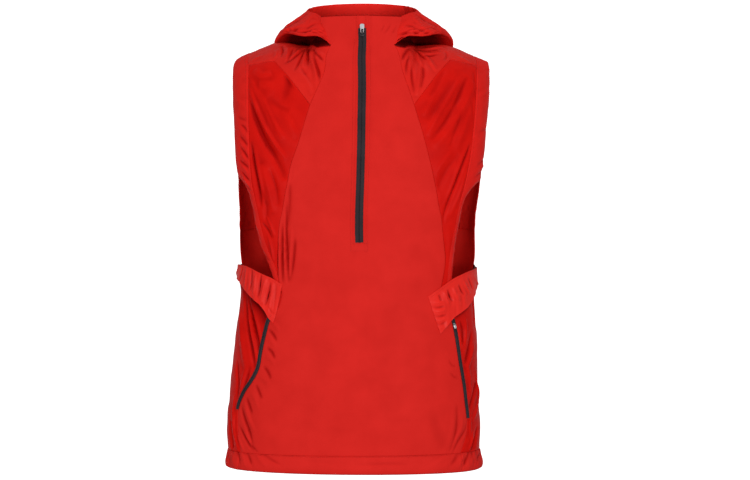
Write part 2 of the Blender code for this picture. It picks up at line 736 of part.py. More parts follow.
def outlined(name, outline, hole, thick, frame, material, origin):
    """A flat plate in a slider's frame, from an outline and a hole of as many points, joined by quads."""
    mesh = bpy.data.meshes.new(name)
    plate = bmesh.new()
    rings = []
    for depth in (-thick / 2, thick / 2):
        for line in (outline, hole):
            rings.append([plate.verts.new(frame @ (Vector((x, depth, z)) * MM)) for x, z in line])
    outer_low, hole_low, outer_high, hole_high = rings
    count = len(outline)
    for k in range(count):
        n = (k + 1) % count
        plate.faces.new((outer_low[k], outer_low[n], hole_low[n], hole_low[k]))
        plate.faces.new((outer_high[k], hole_high[k], hole_high[n], outer_high[n]))
        plate.faces.new((outer_low[k], outer_high[k], outer_high[n], outer_low[n]))
        plate.faces.new((hole_low[k], hole_low[n], hole_high[n], hole_high[k]))
    bmesh.ops.recalc_face_normals(plate, faces=plate.faces[:])
    plate.transform(Matrix.Translation(-origin))
    plate.to_mesh(mesh)
    plate.free()
    piece = add_object(name, mesh, material)
    piece.location = origin
    return piece


def slider_frame(place, up, collar):
    """A slider's own frame on the cloth: X across the zip, Y into the cloth, and Z up along the zip."""
    away = outward(*place, False, collar)
    up = (up - away * up.dot(away)).normalized()
    across = away.cross(up) * -1
    base = skin(*place, False, collar) * MM + away * (ON_PANEL * 2 + ZIP_WALL) * MM
    columns = (across, -away, up, base)
    return Matrix([[column[i] for column in columns] for i in range(3)] + [[0, 0, 0, 1]])


def slider_body(name, size, frame):
    """The slider's tapering plate, six-sided and a little smaller on its outer face."""
    wing, tall = size["width"] / 2, size["height"] / 2
    outline = ((-wing * 0.62, tall), (wing * 0.62, tall), (wing, tall * 0.1), (wing * 0.8, -tall),
               (-wing * 0.8, -tall), (-wing, tall * 0.1))
    mesh = bpy.data.meshes.new(name)
    body = bmesh.new()
    low = [body.verts.new(frame @ (Vector((x, 0, z)) * MM)) for x, z in outline]
    high = [body.verts.new(frame @ (Vector((x * 0.9, -size["floor"], z * 0.92)) * MM)) for x, z in outline]
    body.faces.new(low)
    body.faces.new(high[::-1])
    for k in range(len(outline)):
        n = (k + 1) % len(outline)
        body.faces.new((low[k], high[k], high[n], low[n]))
    bmesh.ops.recalc_face_normals(body, faces=body.faces[:])
    body.to_mesh(mesh)
    body.free()
    return add_object(name, mesh, "slider_metal")


def slider_bridge(name, size, frame):
    """The arch over the slider that its pull hangs on, sunk a little into the slider's plate."""
    tall, high, sunk = size["height"] / 2, size["bridge_height"], 0.3
    ceiling = high - size["bridge_wall"]
    arch = ((-tall * 0.75, -sunk), (-tall * 0.45, high), (tall * 0.45, high), (tall * 0.75, -sunk))
    under = ((tall * 0.42, -sunk), (tall * 0.3, ceiling), (-tall * 0.3, ceiling), (-tall * 0.42, -sunk))
    mesh = bpy.data.meshes.new(name)
    bow = bmesh.new()
    sides = []
    for x in (-size["bridge"] / 2, size["bridge"] / 2):
        sides.append([
            bow.verts.new(frame @ (Vector((x, -rise - size["floor"], z)) * MM)) for z, rise in arch + under
        ])
    bow.faces.new(sides[0])
    bow.faces.new(sides[1][::-1])
    count = len(sides[0])
    for k in range(count):
        n = (k + 1) % count
        bow.faces.new((sides[0][k], sides[1][k], sides[1][n], sides[0][n]))
    bmesh.ops.triangulate(bow, faces=bow.faces[:])
    bmesh.ops.recalc_face_normals(bow, faces=bow.faces[:])
    bow.to_mesh(mesh)
    bow.free()
    bridge = add_object(name, mesh, "slider_metal")
    bridge.hide_render = True
    bridge.display_type = "WIRE"
    return bridge


def slider_pull(name, size, frame, angle):
    """The pull tab: a plate with an eye whose rod passes under the bridge. Its origin is on that rod."""
    rod, play = size["rod"], size["play"]
    half, length = size["pull_width"] / 2, size["pull_length"]
    eye = size["bridge"] / 2 + play * 7 / 6
    arm = eye + rod * 1.6
    outline = ((-arm, -rod), (arm, -rod), (arm, length * 0.3), (half, length * 0.62), (half, length * 0.9),
               (half * 0.6, length), (-half * 0.6, length), (-half, length * 0.9), (-half, length * 0.62),
               (-arm, length * 0.3))
    top = size["height"] * 0.375 + play * 4
    hole = ((-eye, rod), (eye, rod), (eye, top * 0.5), (eye, top * 0.75), (eye * 0.8, top), (eye * 0.3, top),
            (-eye * 0.3, top), (-eye * 0.8, top), (-eye, top * 0.75), (-eye, top * 0.5))
    hinge = Matrix.Translation(Vector((0, -size["floor"] - rod - play, 0)) * MM)
    pivot = frame @ hinge.translation
    turned = frame @ hinge @ Matrix.Rotation(math.radians(angle), 4, "X")
    return outlined(name, outline, hole, rod * 2, turned, "pull_metal", pivot)


def zip_slider(name, place, up, scale, collar, pull_angle=0.0):
    """A slider on a zip, and its pull tab. up is the direction of the zip."""
    frame = slider_frame(place, up, collar)
    size = {key: value * scale for key, value in SLIDER.items()}
    slider = slider_body(name + "_slider", size, frame)
    join = slider.modifiers.new("bridge", "BOOLEAN")
    join.operation = "UNION"
    join.use_self = True
    join.object = slider_bridge(name + "_bridge", size, frame)
    slider_pull(name + "_pull", size, frame, pull_angle)


def pieces():
    rows = front_panel()
    for side in ("left", "right"):
        yoke(side)
        chest(side)
        armband_front(side)
        armband_back(side)
        flap(side)
        low = side_panel(side)
        hem("hem_side_" + side, low)
    hem("hem_front", rows[-1], collar=True)
    hem("hem_back", back_panel(), back=True)
    hood()
    front_zip(rows)
    zips = {side: pocket_zip(side) for side in ("left", "right")}
    zip_slider("zip", place_on_front(SLIDER_AT), Vector((0, 0, 1)), 1.0, True)
    top, below = zips["right"][:2]
    line = skin(*top) - skin(*below)
    place = (top[0], top[1] - POCKET_SLIDER_DROP)
    zip_slider("pocket", place, line, POCKET_SLIDER_SCALE, False, pull_angle=180)


clear_scene()
pieces()
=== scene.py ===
"""A red sleeveless hooded vest with a half zip, filled out as if worn, in a plain pale studio."""

import json
import math

import bmesh
import bpy
import numpy as np
from mathutils import Matrix, Vector

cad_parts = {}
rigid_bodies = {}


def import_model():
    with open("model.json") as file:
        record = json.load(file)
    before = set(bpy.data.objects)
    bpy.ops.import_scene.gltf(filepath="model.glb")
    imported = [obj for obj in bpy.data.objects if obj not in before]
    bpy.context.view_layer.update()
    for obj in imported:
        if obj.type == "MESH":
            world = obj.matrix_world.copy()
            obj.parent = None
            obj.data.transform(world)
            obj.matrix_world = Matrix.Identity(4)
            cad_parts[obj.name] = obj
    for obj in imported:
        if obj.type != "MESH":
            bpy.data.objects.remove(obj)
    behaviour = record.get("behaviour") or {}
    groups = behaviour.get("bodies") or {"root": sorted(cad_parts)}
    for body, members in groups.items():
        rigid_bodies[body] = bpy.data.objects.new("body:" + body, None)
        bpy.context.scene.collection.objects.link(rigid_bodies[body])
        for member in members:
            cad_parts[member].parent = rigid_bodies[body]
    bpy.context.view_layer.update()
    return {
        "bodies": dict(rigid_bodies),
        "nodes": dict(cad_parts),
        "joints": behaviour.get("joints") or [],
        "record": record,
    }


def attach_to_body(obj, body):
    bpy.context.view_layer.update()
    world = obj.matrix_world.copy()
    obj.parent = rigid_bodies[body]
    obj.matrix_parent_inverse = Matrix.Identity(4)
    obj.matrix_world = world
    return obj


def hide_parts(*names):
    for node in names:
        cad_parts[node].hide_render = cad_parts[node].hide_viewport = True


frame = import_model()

# ---------------------------------------------------------------------------------------------------------
# Studio: a camera level with the vest's middle, a pale sweep of paper under and behind it, and three
# softboxes. None of it belongs to the vest.
view = bpy.context.scene.view_settings
view.view_transform = "Standard"
view.look = "None"

lens = bpy.data.cameras.new("camera")
lens.sensor_width = 36
lens.lens = 82.45


def placed(name, data):
    """A new object in the scene."""
    thing = bpy.data.objects.new(name, data)
    bpy.context.scene.collection.objects.link(thing)
    return thing


camera = placed("camera", lens)
camera.location = (0.0204, -2.8, -0.318)
camera.rotation_euler = (math.radians(90), 0, 0)
bpy.context.scene.camera = camera


def softbox(name, place, aim, size, power):
    lamp = bpy.data.lights.new(name, "AREA")
    lamp.shape = "RECTANGLE"
    lamp.size, lamp.size_y = size
    lamp.energy = power
    stand = placed(name, lamp)
    stand.location = place
    stand.rotation_euler = (Vector(aim) - Vector(place)).to_track_quat("-Z", "Y").to_euler()


softbox("softbox_left", (-1.2, -2.7, -0.45), (0, 0, -0.35), (0.8, 0.8), 22.5)
softbox("softbox_right", (1.1, -2.8, -0.4), (0, 0, -0.35), (0.7, 0.7), 28.5)
softbox("softbox_top", (0.1, -1.0, 1.9), (0, 0, -0.1), (1.0, 0.8), 9.5)

world = bpy.data.worlds.new("studio")
bpy.context.scene.world = world
world.use_nodes = True
world.node_tree.nodes["Background"].inputs["Color"].default_value = (1, 1, 1, 1)
world.node_tree.nodes["Background"].inputs["Strength"].default_value = 0.42


def paper_sweep():
    """Floor that curves up into a wall behind."""
    floor, back, wall, bend, steps = -0.85, 5.5, 5.0, 1.0, 12
    profile = [(-4.5, floor), (back - bend, floor)]
    for k in range(1, steps + 1):
        turn = math.radians(90 * k / steps)
        profile.append((back - bend + bend * math.sin(turn), floor + bend * (1 - math.cos(turn))))
    profile.append((back, wall))
    mesh = bpy.data.meshes.new("paper_sweep")
    corners = [(x, y, z) for y, z in profile for x in (-8, 8)]
    faces = [(2 * i, 2 * i + 1, 2 * i + 3, 2 * i + 2) for i in range(len(profile) - 1)]
    mesh.from_pydata(corners, [], faces)
    mesh.shade_smooth()
    paper = bpy.data.materials.new("pale_paper")
    paper.use_nodes = True
    shader = paper.node_tree.nodes["Principled BSDF"]
    shader.inputs["Base Color"].default_value = (0.93, 0.93, 0.93, 1)
    shader.inputs["Roughness"].default_value = 0.9
    shader.inputs["Emission Color"].default_value = (1, 1, 1, 1)
    shader.inputs["Emission Strength"].default_value = 0.9
    mesh.materials.append(paper)
    sweep = placed("paper_sweep", mesh)
    sweep.visible_diffuse = sweep.visible_glossy = False


paper_sweep()

# ---------------------------------------------------------------------------------------------------------
# Front panel: one smooth piece of plain-weave polyester from the hem up into the collar, cut down the
# middle for the zip. Its sizes are in millimetres. The wearer's body that fills the vest out is given here
# first, because every other panel is cut to lie on the same form.
SIDES = ((-1, "left"), (1, "right"))
BODY_COLUMNS = ("centre", "half_width", "front", "front_edge", "front_square", "back", "back_edge",
                "back_square")
BODY = {  # at heights
    45: (0, 88, 73, 0, 1.0, 70, 0, 1.0),
    15: (0, 135, 76, 0, 1.0, 70, 0, 1.0),
    -8: (0, 185, 80, 10, 1.0, 74, 10, 1.0),
    -28: (-2, 208, 86, 22, 1.0, 82, 30, 1.0),
    -73: (-2, 207, 102, 28, 0.95, 98, 40, 0.95),
    -125: (-3, 205, 112, 32, 0.9, 108, 46, 0.9),
    -178: (-4, 203, 118, 34, 0.85, 113, 48, 0.85),
    -230: (-6, 200, 120, 32, 0.8, 114, 48, 0.8),
    -269: (-8, 196, 121, 26, 0.78, 113, 44, 0.78),
    -308: (-9, 194, 121, 14, 0.77, 111, 32, 0.77),
    -354: (-8, 193, 121, 0, 0.76, 109, 0, 0.76),
    -399: (-8, 190, 120, 0, 0.76, 107, 0, 0.76),
    -464: (-10, 195, 119, 0, 0.76, 106, 0, 0.78),
    -517: (-12, 199, 118, 0, 0.76, 106, 0, 0.78),
    -569: (-14, 202, 117, 0, 0.76, 107, 0, 0.78),
    -621: (-14, 206, 116, 0, 0.76, 108, 0, 0.78),
    -657: (-14, 204, 115, 0, 0.76, 108, 0, 0.78),
    -685: (-14, 206, 115, 0, 0.76, 109, 0, 0.78),
}
SHOULDER_LINE = {  # heights at distances from the middle
    -1: {85: 0, 95: 1, 118: 4, 145: 2, 160: -5, 177: -11, 195: -18, 208: -25},
    1: {85: 0, 95: 1, 118: 2, 145: -3, 175: -15, 208: -28},
}
SHOULDER_END = 208
SHOULDER_DROP, SHOULDER_ARC = 60.0, 110.0  # height over which a shoulder rounds, and the cloth that takes
NECK_HALF_WIDTH = 85
NECK_RISE = {"front": 1.8, "back": 1.2}
HEM_STITCH, HEM_BOTTOM = -656, -687
FRONT_SEAM = {
    -1: {
        "collar": ((-67, 38), (-58, 16), (-49, -8)),
        "yoke": ((-49, -8), (-58, -50), (-82, -105)),
        "chest": ((-82, -105), (-102, -172), (-112, -198), (-117, -232), (-125, -268), (-131, -304),
                  (-134, -350), (-132, -382), (-126, -402)),
        "side": ((-126, -402), (-131, -426), (-147, -440), (-160, -492), (-164, -520), (-174, -539),
                 (-189, -560), (-199, -584), (-199, -620), (-195, HEM_STITCH)),
    },
    1: {
        "collar": ((63, 38), (56, 16), (51, -8)),
        "yoke": ((51, -8), (63, -50), (82, -105)),
        "chest": ((82, -105), (94, -144), (113, -221), (126, -286), (133, -350), (124, -402)),
        "side": ((124, -402), (132, -426), (143, -440), (150, -476), (155, -510), (163, -555), (168, -598),
                 (168, -622), (162, -640), (157, HEM_STITCH)),
    },
}


def between(table, at):
    """Values at places in a {place: value} table, smooth and without overshoot."""
    places = np.array(sorted(table), float)
    values = np.array([table[p] for p in sorted(table)], float)
    rises = np.diff(values) / np.diff(places)
    low, high = rises[:-1], rises[1:]
    safe = np.where(low * high > 0, low + high, 1)
    slopes = np.concatenate(([rises[0]], np.where(low * high > 0, 2 * low * high / safe, 0), [rises[-1]]))
    at = np.clip(at, places[0], places[-1])
    k = np.clip(np.searchsorted(places, at, side="right") - 1, 0, len(rises) - 1)
    span = places[k + 1] - places[k]
    t = (at - places[k]) / span
    return (values[k] * (1 + 2 * t) * (1 - t) ** 2 + slopes[k] * span * t * (1 - t) ** 2
            + values[k + 1] * t * t * (3 - 2 * t) + slopes[k + 1] * span * t * t * (t - 1))


def ramp(values, start, end):
    """0 at a start, 1 at an end and straight between them."""
    return np.clip((values - start) / (end - start), 0, 1)


def blurred(values, reach):
    """A row of evenly spaced values with its bends eased over a reach, its ends kept."""
    steps = np.arange(-3 * reach, 3 * reach + 1)
    weight = np.exp(-(steps / reach) ** 2 / 2)
    ends = np.concatenate((2 * values[0] - values[3 * reach:0:-1], values,
                           2 * values[-1] - values[-2:-3 * reach - 2:-1]))
    return np.convolve(ends, weight / weight.sum(), "valid")


LEVELS = np.arange(-740.0, 60.0)
FORM = {
    name: blurred(between({h: row[i] for h, row in BODY.items()}, LEVELS), 9)
    for i, name in enumerate(BODY_COLUMNS)
}
ANGLES = np.arange(0.0, 90.01, 0.25)
turns = np.radians(ANGLES)
CHEST_HALF_WIDTH, CHEST_DEPTH, CHEST_SQUARE = 192, 120, 0.77  # the ring that the cloth is unrolled from
ring = np.stack((CHEST_HALF_WIDTH * np.sin(turns),
                 CHEST_DEPTH * np.clip(np.cos(turns), 0, 1) ** CHEST_SQUARE))
quarter = np.concatenate(([0], np.cumsum(np.hypot(*np.diff(ring)))))
SIDE = quarter[-1]  # cloth from the front's middle round to the side
AROUND = np.concatenate((-2 * SIDE + quarter, -quarter[-2::-1], quarter[1:], 2 * SIDE - quarter[-2::-1],
                         2 * SIDE + quarter[1:], 4 * SIDE - quarter[-2::-1]))
ROUND_ANGLES = np.concatenate((-180 + ANGLES, -ANGLES[-2::-1], ANGLES[1:], 180 - ANGLES[-2::-1],
                               180 + ANGLES[1:], 360 - ANGLES[-2::-1]))


def top_edge(x, height, half):
    """Height of the shoulder or neck above a place, and the place's distance from the body's middle."""
    offset = x - np.interp(height, LEVELS, FORM["centre"])
    across = np.abs(offset)
    rise = NECK_RISE["back" if half == "back" else "front"]
    shoulder = np.where(offset < 0, between(SHOULDER_LINE[-1], across), between(SHOULDER_LINE[1], across))
    return np.where(across < NECK_HALF_WIDTH, rise * (NECK_HALF_WIDTH - across), shoulder)


def width_at(height, turn):
    """How far across the form lies at a height, at a turn in radians from the front's middle."""
    return (np.interp(height, LEVELS, FORM["centre"])
            + np.interp(height, LEVELS, FORM["half_width"]) * np.sin(turn))


def unroll(x, height, half, angle=None):
    """Where points of the vest lie on the unrolled cloth: around from the front's middle, and down."""
    x, height = np.asarray(x, float), np.asarray(height, float)
    centre = np.interp(height, LEVELS, FORM["centre"])
    width = np.interp(height, LEVELS, FORM["half_width"])
    if angle is None:
        angle = np.degrees(np.arcsin(np.clip((x - centre) / width, -1, 1)))
        angle = 180 - angle if half == "back" else angle
    else:
        x = centre + width * np.sin(np.radians(angle))
    around = np.interp(angle, ROUND_ANGLES, AROUND)
    if half == "collar":
        return np.stack((around, SHOULDER_ARC - SHOULDER_DROP - height), -1)
    top = top_edge(x, height, half)
    drop = np.maximum(top - height, 0)
    bend = np.arccos(1 - np.minimum(drop, SHOULDER_DROP) / SHOULDER_DROP) / (math.pi / 2) * SHOULDER_ARC
    return np.stack((around, bend + np.maximum(drop - SHOULDER_DROP, 0) - top), -1)


def skin(around, down, half):
    """Points of the vest's outer face in millimetres. half is collar, front, side or back."""
    angle = np.interp(around, AROUND, ROUND_ANGLES)
    if half in ("front", "collar"):
        angle = np.clip(angle, -90, 90)
    if half == "back":
        angle = np.clip(angle, 90, 270)
    turn = np.radians(angle)
    height = SHOULDER_ARC - SHOULDER_DROP - down
    share = np.ones_like(height)
    if half != "collar":
        height = np.minimum(height, 0)
        for _ in range(8):
            top = top_edge(width_at(height, turn), height, half)
            bend = np.clip(down + top, 0, SHOULDER_ARC) / SHOULDER_ARC * math.pi / 2
            height = top - SHOULDER_DROP * (1 - np.cos(bend)) - np.maximum(down + top - SHOULDER_ARC, 0)
            height = np.minimum(height, 5)
            share = np.sin(bend)
    forward = np.cos(turn)
    behind = forward < (1e-6 if half == "back" else -1e-6)
    depths = []
    for side in ("front", "back"):
        full, edge, square = (np.interp(height, LEVELS, FORM[side + end]) for end in ("", "_edge", "_square"))
        depths.append(edge + (full - edge) * np.maximum(np.abs(forward), 1e-9) ** square)
    depth = np.where(behind, depths[1], -depths[0]) * share
    return np.stack((width_at(height, turn), depth, height), -1)


def outward(around, down, half):
    """Directions away from the body, square to the cloth."""
    along = skin(around + 1.5, down, half) - skin(around - 1.5, down, half)
    fall = skin(around, down + 2.5, half) - skin(around, down + 0.1, half)
    away = np.cross(fall, along)
    return away / np.linalg.norm(away, axis=-1, keepdims=True)


def lengths_along(line):
    """How far along a line each of its points lies."""
    return np.concatenate(([0], np.cumsum(np.hypot(*np.diff(line, axis=0).T))))


def resample(line, shares):
    """Points at shares of the length of a line of 2-D points."""
    line = np.asarray(line, float)
    lengths = lengths_along(line)
    at = np.asarray(shares) * lengths[-1]
    return np.stack([np.interp(at, lengths, line[:, k]) for k in range(line.shape[1])], -1)


def drawn(points, half, ease=7):
    """A seam line through (across, height) points, eased into a smooth curve on the unrolled cloth."""
    return eased(unroll(*np.array(points, float).T, half), ease)


def eased(flat, ease):
    """A line with its bends eased over a length."""
    fine = resample(flat, np.linspace(0, 1, 401))
    length = np.hypot(*np.diff(flat, axis=0).T).sum()
    reach = max(1, min(60, round(ease / length * 400)))
    return np.stack([blurred(fine[:, k], reach) for k in range(2)], -1)


def joined(*lines):
    """Lines end to end, without the first point of each line after the first."""
    return np.concatenate([lines[0]] + [line[1:] for line in lines[1:]])


def length_of(line):
    return np.hypot(*np.diff(line, axis=0).T).sum()


def spread(length, step):
    """Shares along a border, closer at its ends, where the cloth turns in to its seams."""
    count = max(3, round((length - 4) / step) + 1)
    return np.concatenate(([0, 0.8], np.linspace(2, length - 2, count), [length - 0.8, length])) / length


def patch(top, low, left, right, step, columns=None):
    """Grid of places on the unrolled cloth inside four borders. top and low run left to right, and left and
    right run from top to low."""
    u = spread(max(length_of(top), length_of(low)), step) if columns is None else columns
    v = spread(max(length_of(left), length_of(right)), step)
    top, low, left, right = resample(top, u), resample(low, u), resample(left, v), resample(right, v)
    u, v = u[None, :, None], v[:, None, None]
    return ((1 - v) * top[None] + v * low[None] + (1 - u) * left[:, None] + u * right[:, None]
            - (1 - u) * (1 - v) * top[0] - u * (1 - v) * top[-1] - (1 - u) * v * low[0] - u * v * low[-1])


ALL_ROUND = ("top", "low", "left", "right")


def seam_roll(shape, sewn, depth=1.0):
    """How far a panel's edges dip where they are sewn to a neighbour. sewn names those borders."""
    dip = np.zeros(shape)
    rolled = depth * np.array((-0.8, -0.3, -0.05))[:, None]
    for border, rows in zip(ALL_ROUND, (dip[:3], dip[:-4:-1], dip.T[:3], dip.T[:-4:-1])):
        if border in sewn:
            np.minimum(rows, rolled, out=rows)
    return dip


def crease_relief(creases, around, down):
    """Height in millimetres that soft ridges and troughs add to the cloth. Each crease is a path on the
    unrolled cloth, its width, how far it rises and how sharp its crest is, from 0 to 1."""
    total = np.zeros(np.shape(around))
    for path, width, rise, sharp in creases:
        path = eased(path, 0.12 * length_of(path))[::40]
        lengths = lengths_along(path)
        (left, top), (right, low) = path.min(0) - 4 * width, path.max(0) + 4 * width
        here = (around > left) & (around < right) & (down > top) & (down < low)
        a, b = around[here], down[here]
        near, along = np.full(a.shape, 1e9), np.zeros(a.shape)
        for k in range(len(path) - 1):
            (ax, ay), (dx, dy) = path[k], path[k + 1] - path[k]
            t = np.clip(((a - ax) * dx + (b - ay) * dy) / (dx * dx + dy * dy), 0, 1)
            distance = np.hypot(a - ax - t * dx, b - ay - t * dy)
            nearer = distance < near
            near = np.where(nearer, distance, near)
            along = np.where(nearer, lengths[k] + t * (lengths[k + 1] - lengths[k]), along)
        taper = np.sin(np.clip(along / lengths[-1], 0, 1) * math.pi) ** 0.7
        crest = np.exp(-near / width * 1.6) * np.clip(4 - near / width, 0, 1)
        total[here] += rise * taper * (np.exp(-(near / width) ** 2) * (1 - sharp) + crest * sharp)
    return total


def creased(rows, half=None, depth=1.0):
    """Creases from rows of numbers: a path's points, then its width, rise and sharpness. The points are
    across and height on the vest, or places on the unrolled cloth where no half is given."""
    creases = []
    for *path, width, rise, sharp in rows:
        path = np.reshape(path, (-1, 2)).astype(float)
        creases.append((unroll(*path.T, half) if half else path, width, rise * depth, sharp))
    return creases


def seam_hold(places, sewn):
    """How freely the cloth creases: 1 inside a panel, and little along its sewn borders."""
    steps = [np.hypot(*np.moveaxis(np.diff(places, axis=k), -1, 0)) for k in (0, 1)]
    down = np.pad(np.cumsum(steps[0], 0), ((1, 0), (0, 0)))
    along = np.pad(np.cumsum(steps[1], 1), ((0, 0), (1, 0)))
    away = {"top": down, "low": down[-1:] - down, "left": along, "right": along[:, -1:] - along}
    near = np.min([away[border] for border in sewn], 0)
    return 0.12 + 0.88 * ramp(near, 0, 6) ** 1.2


def uneven(around, down, size, seed, turn=0.0, stretch=1.0):
    """Smooth random waves from -1 to 1, one about every size millimetres, longer along one direction."""
    knots = np.random.default_rng(seed).uniform(-1, 1, (97, 97))
    c, s = math.cos(math.radians(turn)), math.sin(math.radians(turn))
    a = (around * c + down * s) / size
    b = (down * c - around * s) / (size * stretch)
    i, j = np.floor(a).astype(int), np.floor(b).astype(int)
    p, q = a - i, b - j
    p, q = p * p * p * (p * (6 * p - 15) + 10), q * q * q * (q * (6 * q - 15) + 10)
    at = [knots[(i + m) % 97, (j + n) % 97] for m in (0, 1) for n in (0, 1)]
    return (at[0] * (1 - p) * (1 - q) + at[1] * (1 - p) * q + at[2] * p * (1 - q) + at[3] * p * q)


def shell(name, outer, inner, flat, material, shade=None):
    """A closed sheet of cloth between two grids of points in millimetres. flat holds its UVs."""
    rows, columns = outer.shape[:2]
    count = rows * columns
    at = np.arange(count).reshape(rows, columns)
    a, b, c, d = at[:-1, :-1], at[1:, :-1], at[1:, 1:], at[:-1, 1:]
    over = np.stack((a, b, c, d), -1).reshape(-1, 4)
    under = np.stack((a, d, c, b), -1).reshape(-1, 4) + count
    rim = np.concatenate((at[0], at[1:, -1], at[-1, -2::-1], at[-2:0:-1, 0]))
    after = np.roll(rim, -1)
    wall = np.stack((rim, after, after + count, rim + count), -1)
    faces = np.concatenate((over, under, wall))
    points = np.concatenate((outer.reshape(-1, 3), inner.reshape(-1, 3))) * 0.001
    mesh = bpy.data.meshes.new(name)
    middle = outer[rows // 2, columns // 2] - inner[rows // 2, columns // 2]
    face = over[(rows // 2) * (columns - 1) + columns // 2]
    turned = np.cross(points[face[1]] - points[face[0]], points[face[2]] - points[face[0]]) @ middle
    if turned < 0:
        faces = faces[:, ::-1]
    mesh.from_pydata(points.tolist(), [], faces.tolist())
    uv = mesh.uv_layers.new(name="UVMap")
    spots = np.concatenate((flat.reshape(-1, 2), flat.reshape(-1, 2)))[faces.reshape(-1)] * 0.001
    uv.data.foreach_set("uv", spots.astype(np.float32).reshape(-1))
    # Painted shade: kept in the fold_shade attribute, by which the cloth's material darkens its colour.
    if shade is not None:
        depth = mesh.attributes.new("fold_shade", "FLOAT", "POINT")
        depth.data.foreach_set("value", np.tile(shade.reshape(-1), 2).astype(np.float32))
    mesh.shade_smooth()
    mesh.set_sharp_from_angle(angle=math.radians(65))
    mesh.materials.append(material)
    return placed(name, mesh)


def on_form(places, half, lift):
    """Points in millimetres at places on the unrolled cloth, lifted off the form."""
    around, down = places[..., 0], places[..., 1]
    return skin(around, down, half) + outward(around, down, half) * np.asarray(lift)[..., None]


# Painted shade in folds: how much darker per millimetre of depth, and the darkest.
SHADE_PER_MM, DEEPEST_SHADE = 0.34, 0.45


def trough_shade(relief):
    """Painted shade: how much darker the cloth is painted in its folds, where it lies lower than the cloth
    around it.
    """
    around = relief
    for axis in (0, 1):
        for _ in range(2):
            padded = np.pad(around, [(3, 3) if k == axis else (0, 0) for k in (0, 1)], "edge")
            around = sum(np.take(padded, np.arange(relief.shape[axis]) + k, axis) for k in range(7)) / 7
    return np.clip((around - relief) * SHADE_PER_MM, 0, DEEPEST_SHADE)


def panel(name, places, half, relief, sewn, material, wall, shade):
    """One piece of cloth over a grid of places, with its relief in millimetres and painted shade in its folds
    or as given.
    """
    lift = relief + seam_roll(places.shape[:2], sewn)
    return shell(name, on_form(places, half, lift), on_form(places, half, lift - wall), places, material,
                 np.maximum(trough_shade(relief), shade))


def attach(piece, node, body="vest"):
    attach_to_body(piece, body)
    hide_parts(node)


def declare(piece, node):
    """Puts a cloth on the vest's body in place of its solid, which is hidden."""
    attach(piece, node)


def sew(name, places, half, relief, sewn, material, wall=0.5, shade=0.0):
    """A panel that shows the solid of its name."""
    cloth = panel(name + "_cloth", places, half, relief, sewn, material, wall, shade)
    declare(cloth, name)


def added(material, kind, inputs=(), **settings):
    """A new node in a material, with its inputs and settings given."""
    node = material.node_tree.nodes.new("ShaderNode" + kind)
    for key, value in settings.items():
        setattr(node, key, value)
    for key, value in dict(inputs).items():
        node.inputs[key].default_value = value
    return node


def wire(tree, links):
    """Links between nodes, each given as a node, its output, the next node and its input."""
    for source, out, target, into in links:
        tree.links.new(source.outputs[out], target.inputs[into])


# Painted shade in folds: how fast the fold_shade attribute darkens the colour, and the red left in the
# darkest.
FOLD_STRENGTH, FOLD_RED = 1.78, 0.45  # how fast a fold darkens, and the red left in the darkest


def woven(name, colour, dark, roughness, shine, thread=0.45, bump=0.3, mottling=0.12):
    """Plain-weave cloth: threads over and under each other, slow changes of tone, and painted shade in the
    folds.
    """
    material = bpy.data.materials.new(name)
    material.use_nodes = True
    shader = material.node_tree.nodes["Principled BSDF"]
    shader.inputs["Specular IOR Level"].default_value = shine
    uv = added(material, "UVMap", uv_map="UVMap")
    place = added(material, "TexCoord")
    weave = added(material, "Math", operation="MULTIPLY")
    for k, direction in enumerate("XY"):
        wave = added(material, "TexWave", {
            "Scale": 50 / thread, "Distortion": 1.2, "Detail": 1, "Detail Scale": 0.4
        }, wave_type="BANDS", bands_direction=direction)
        wire(material.node_tree, ((uv, "UV", wave, "Vector"), (wave, "Fac", weave, k)))
    raised = added(material, "Bump", {"Strength": bump, "Distance": 0.0001})
    blotches = added(material, "TexNoise", {"Scale": 30, "Detail": 4})
    tone = added(material, "MapRange", {
        "From Min": 0.3, "From Max": 0.7, "To Min": 0.5 - mottling * 4, "To Max": 0.5 + mottling * 4})
    mix = added(material, "Mix", {"A": (*dark, 1), "B": (*colour, 1)}, data_type="RGBA")
    fold = added(material, "Attribute", attribute_name="fold_shade")
    deeper = added(material, "Math", {1: FOLD_STRENGTH}, operation="MULTIPLY")
    # Painted shade from the fold_shade attribute: green and blue go first, since the light in a fold is red.
    folded = added(material, "Mix", {"B": (colour[0] * FOLD_RED, 0, 0, 1)}, data_type="RGBA",
                   clamp_factor=False, clamp_result=True)
    rough = added(material, "MapRange", {"To Min": roughness + 0.06, "To Max": roughness - 0.06})
    wire(material.node_tree, (
        (place, "Object", blotches, "Vector"), (blotches, "Fac", tone, "Value"),
        (tone, "Result", mix, "Factor"), (mix, "Result", folded, "A"),
        (fold, "Fac", deeper, 0), (deeper, 0, folded, "Factor"),
        (folded, "Result", shader, "Base Color"), (blotches, "Fac", rough, "Value"),
        (rough, "Result", shader, "Roughness"), (weave, "Value", raised, "Height"),
        (raised, "Normal", shader, "Normal")))
    return material


SMOOTH_CLOTH = woven("smooth_shell_cloth", (0.67, 0.0175, 0.013), (0.61, 0.015, 0.011), roughness=0.6,
                     shine=0.05)

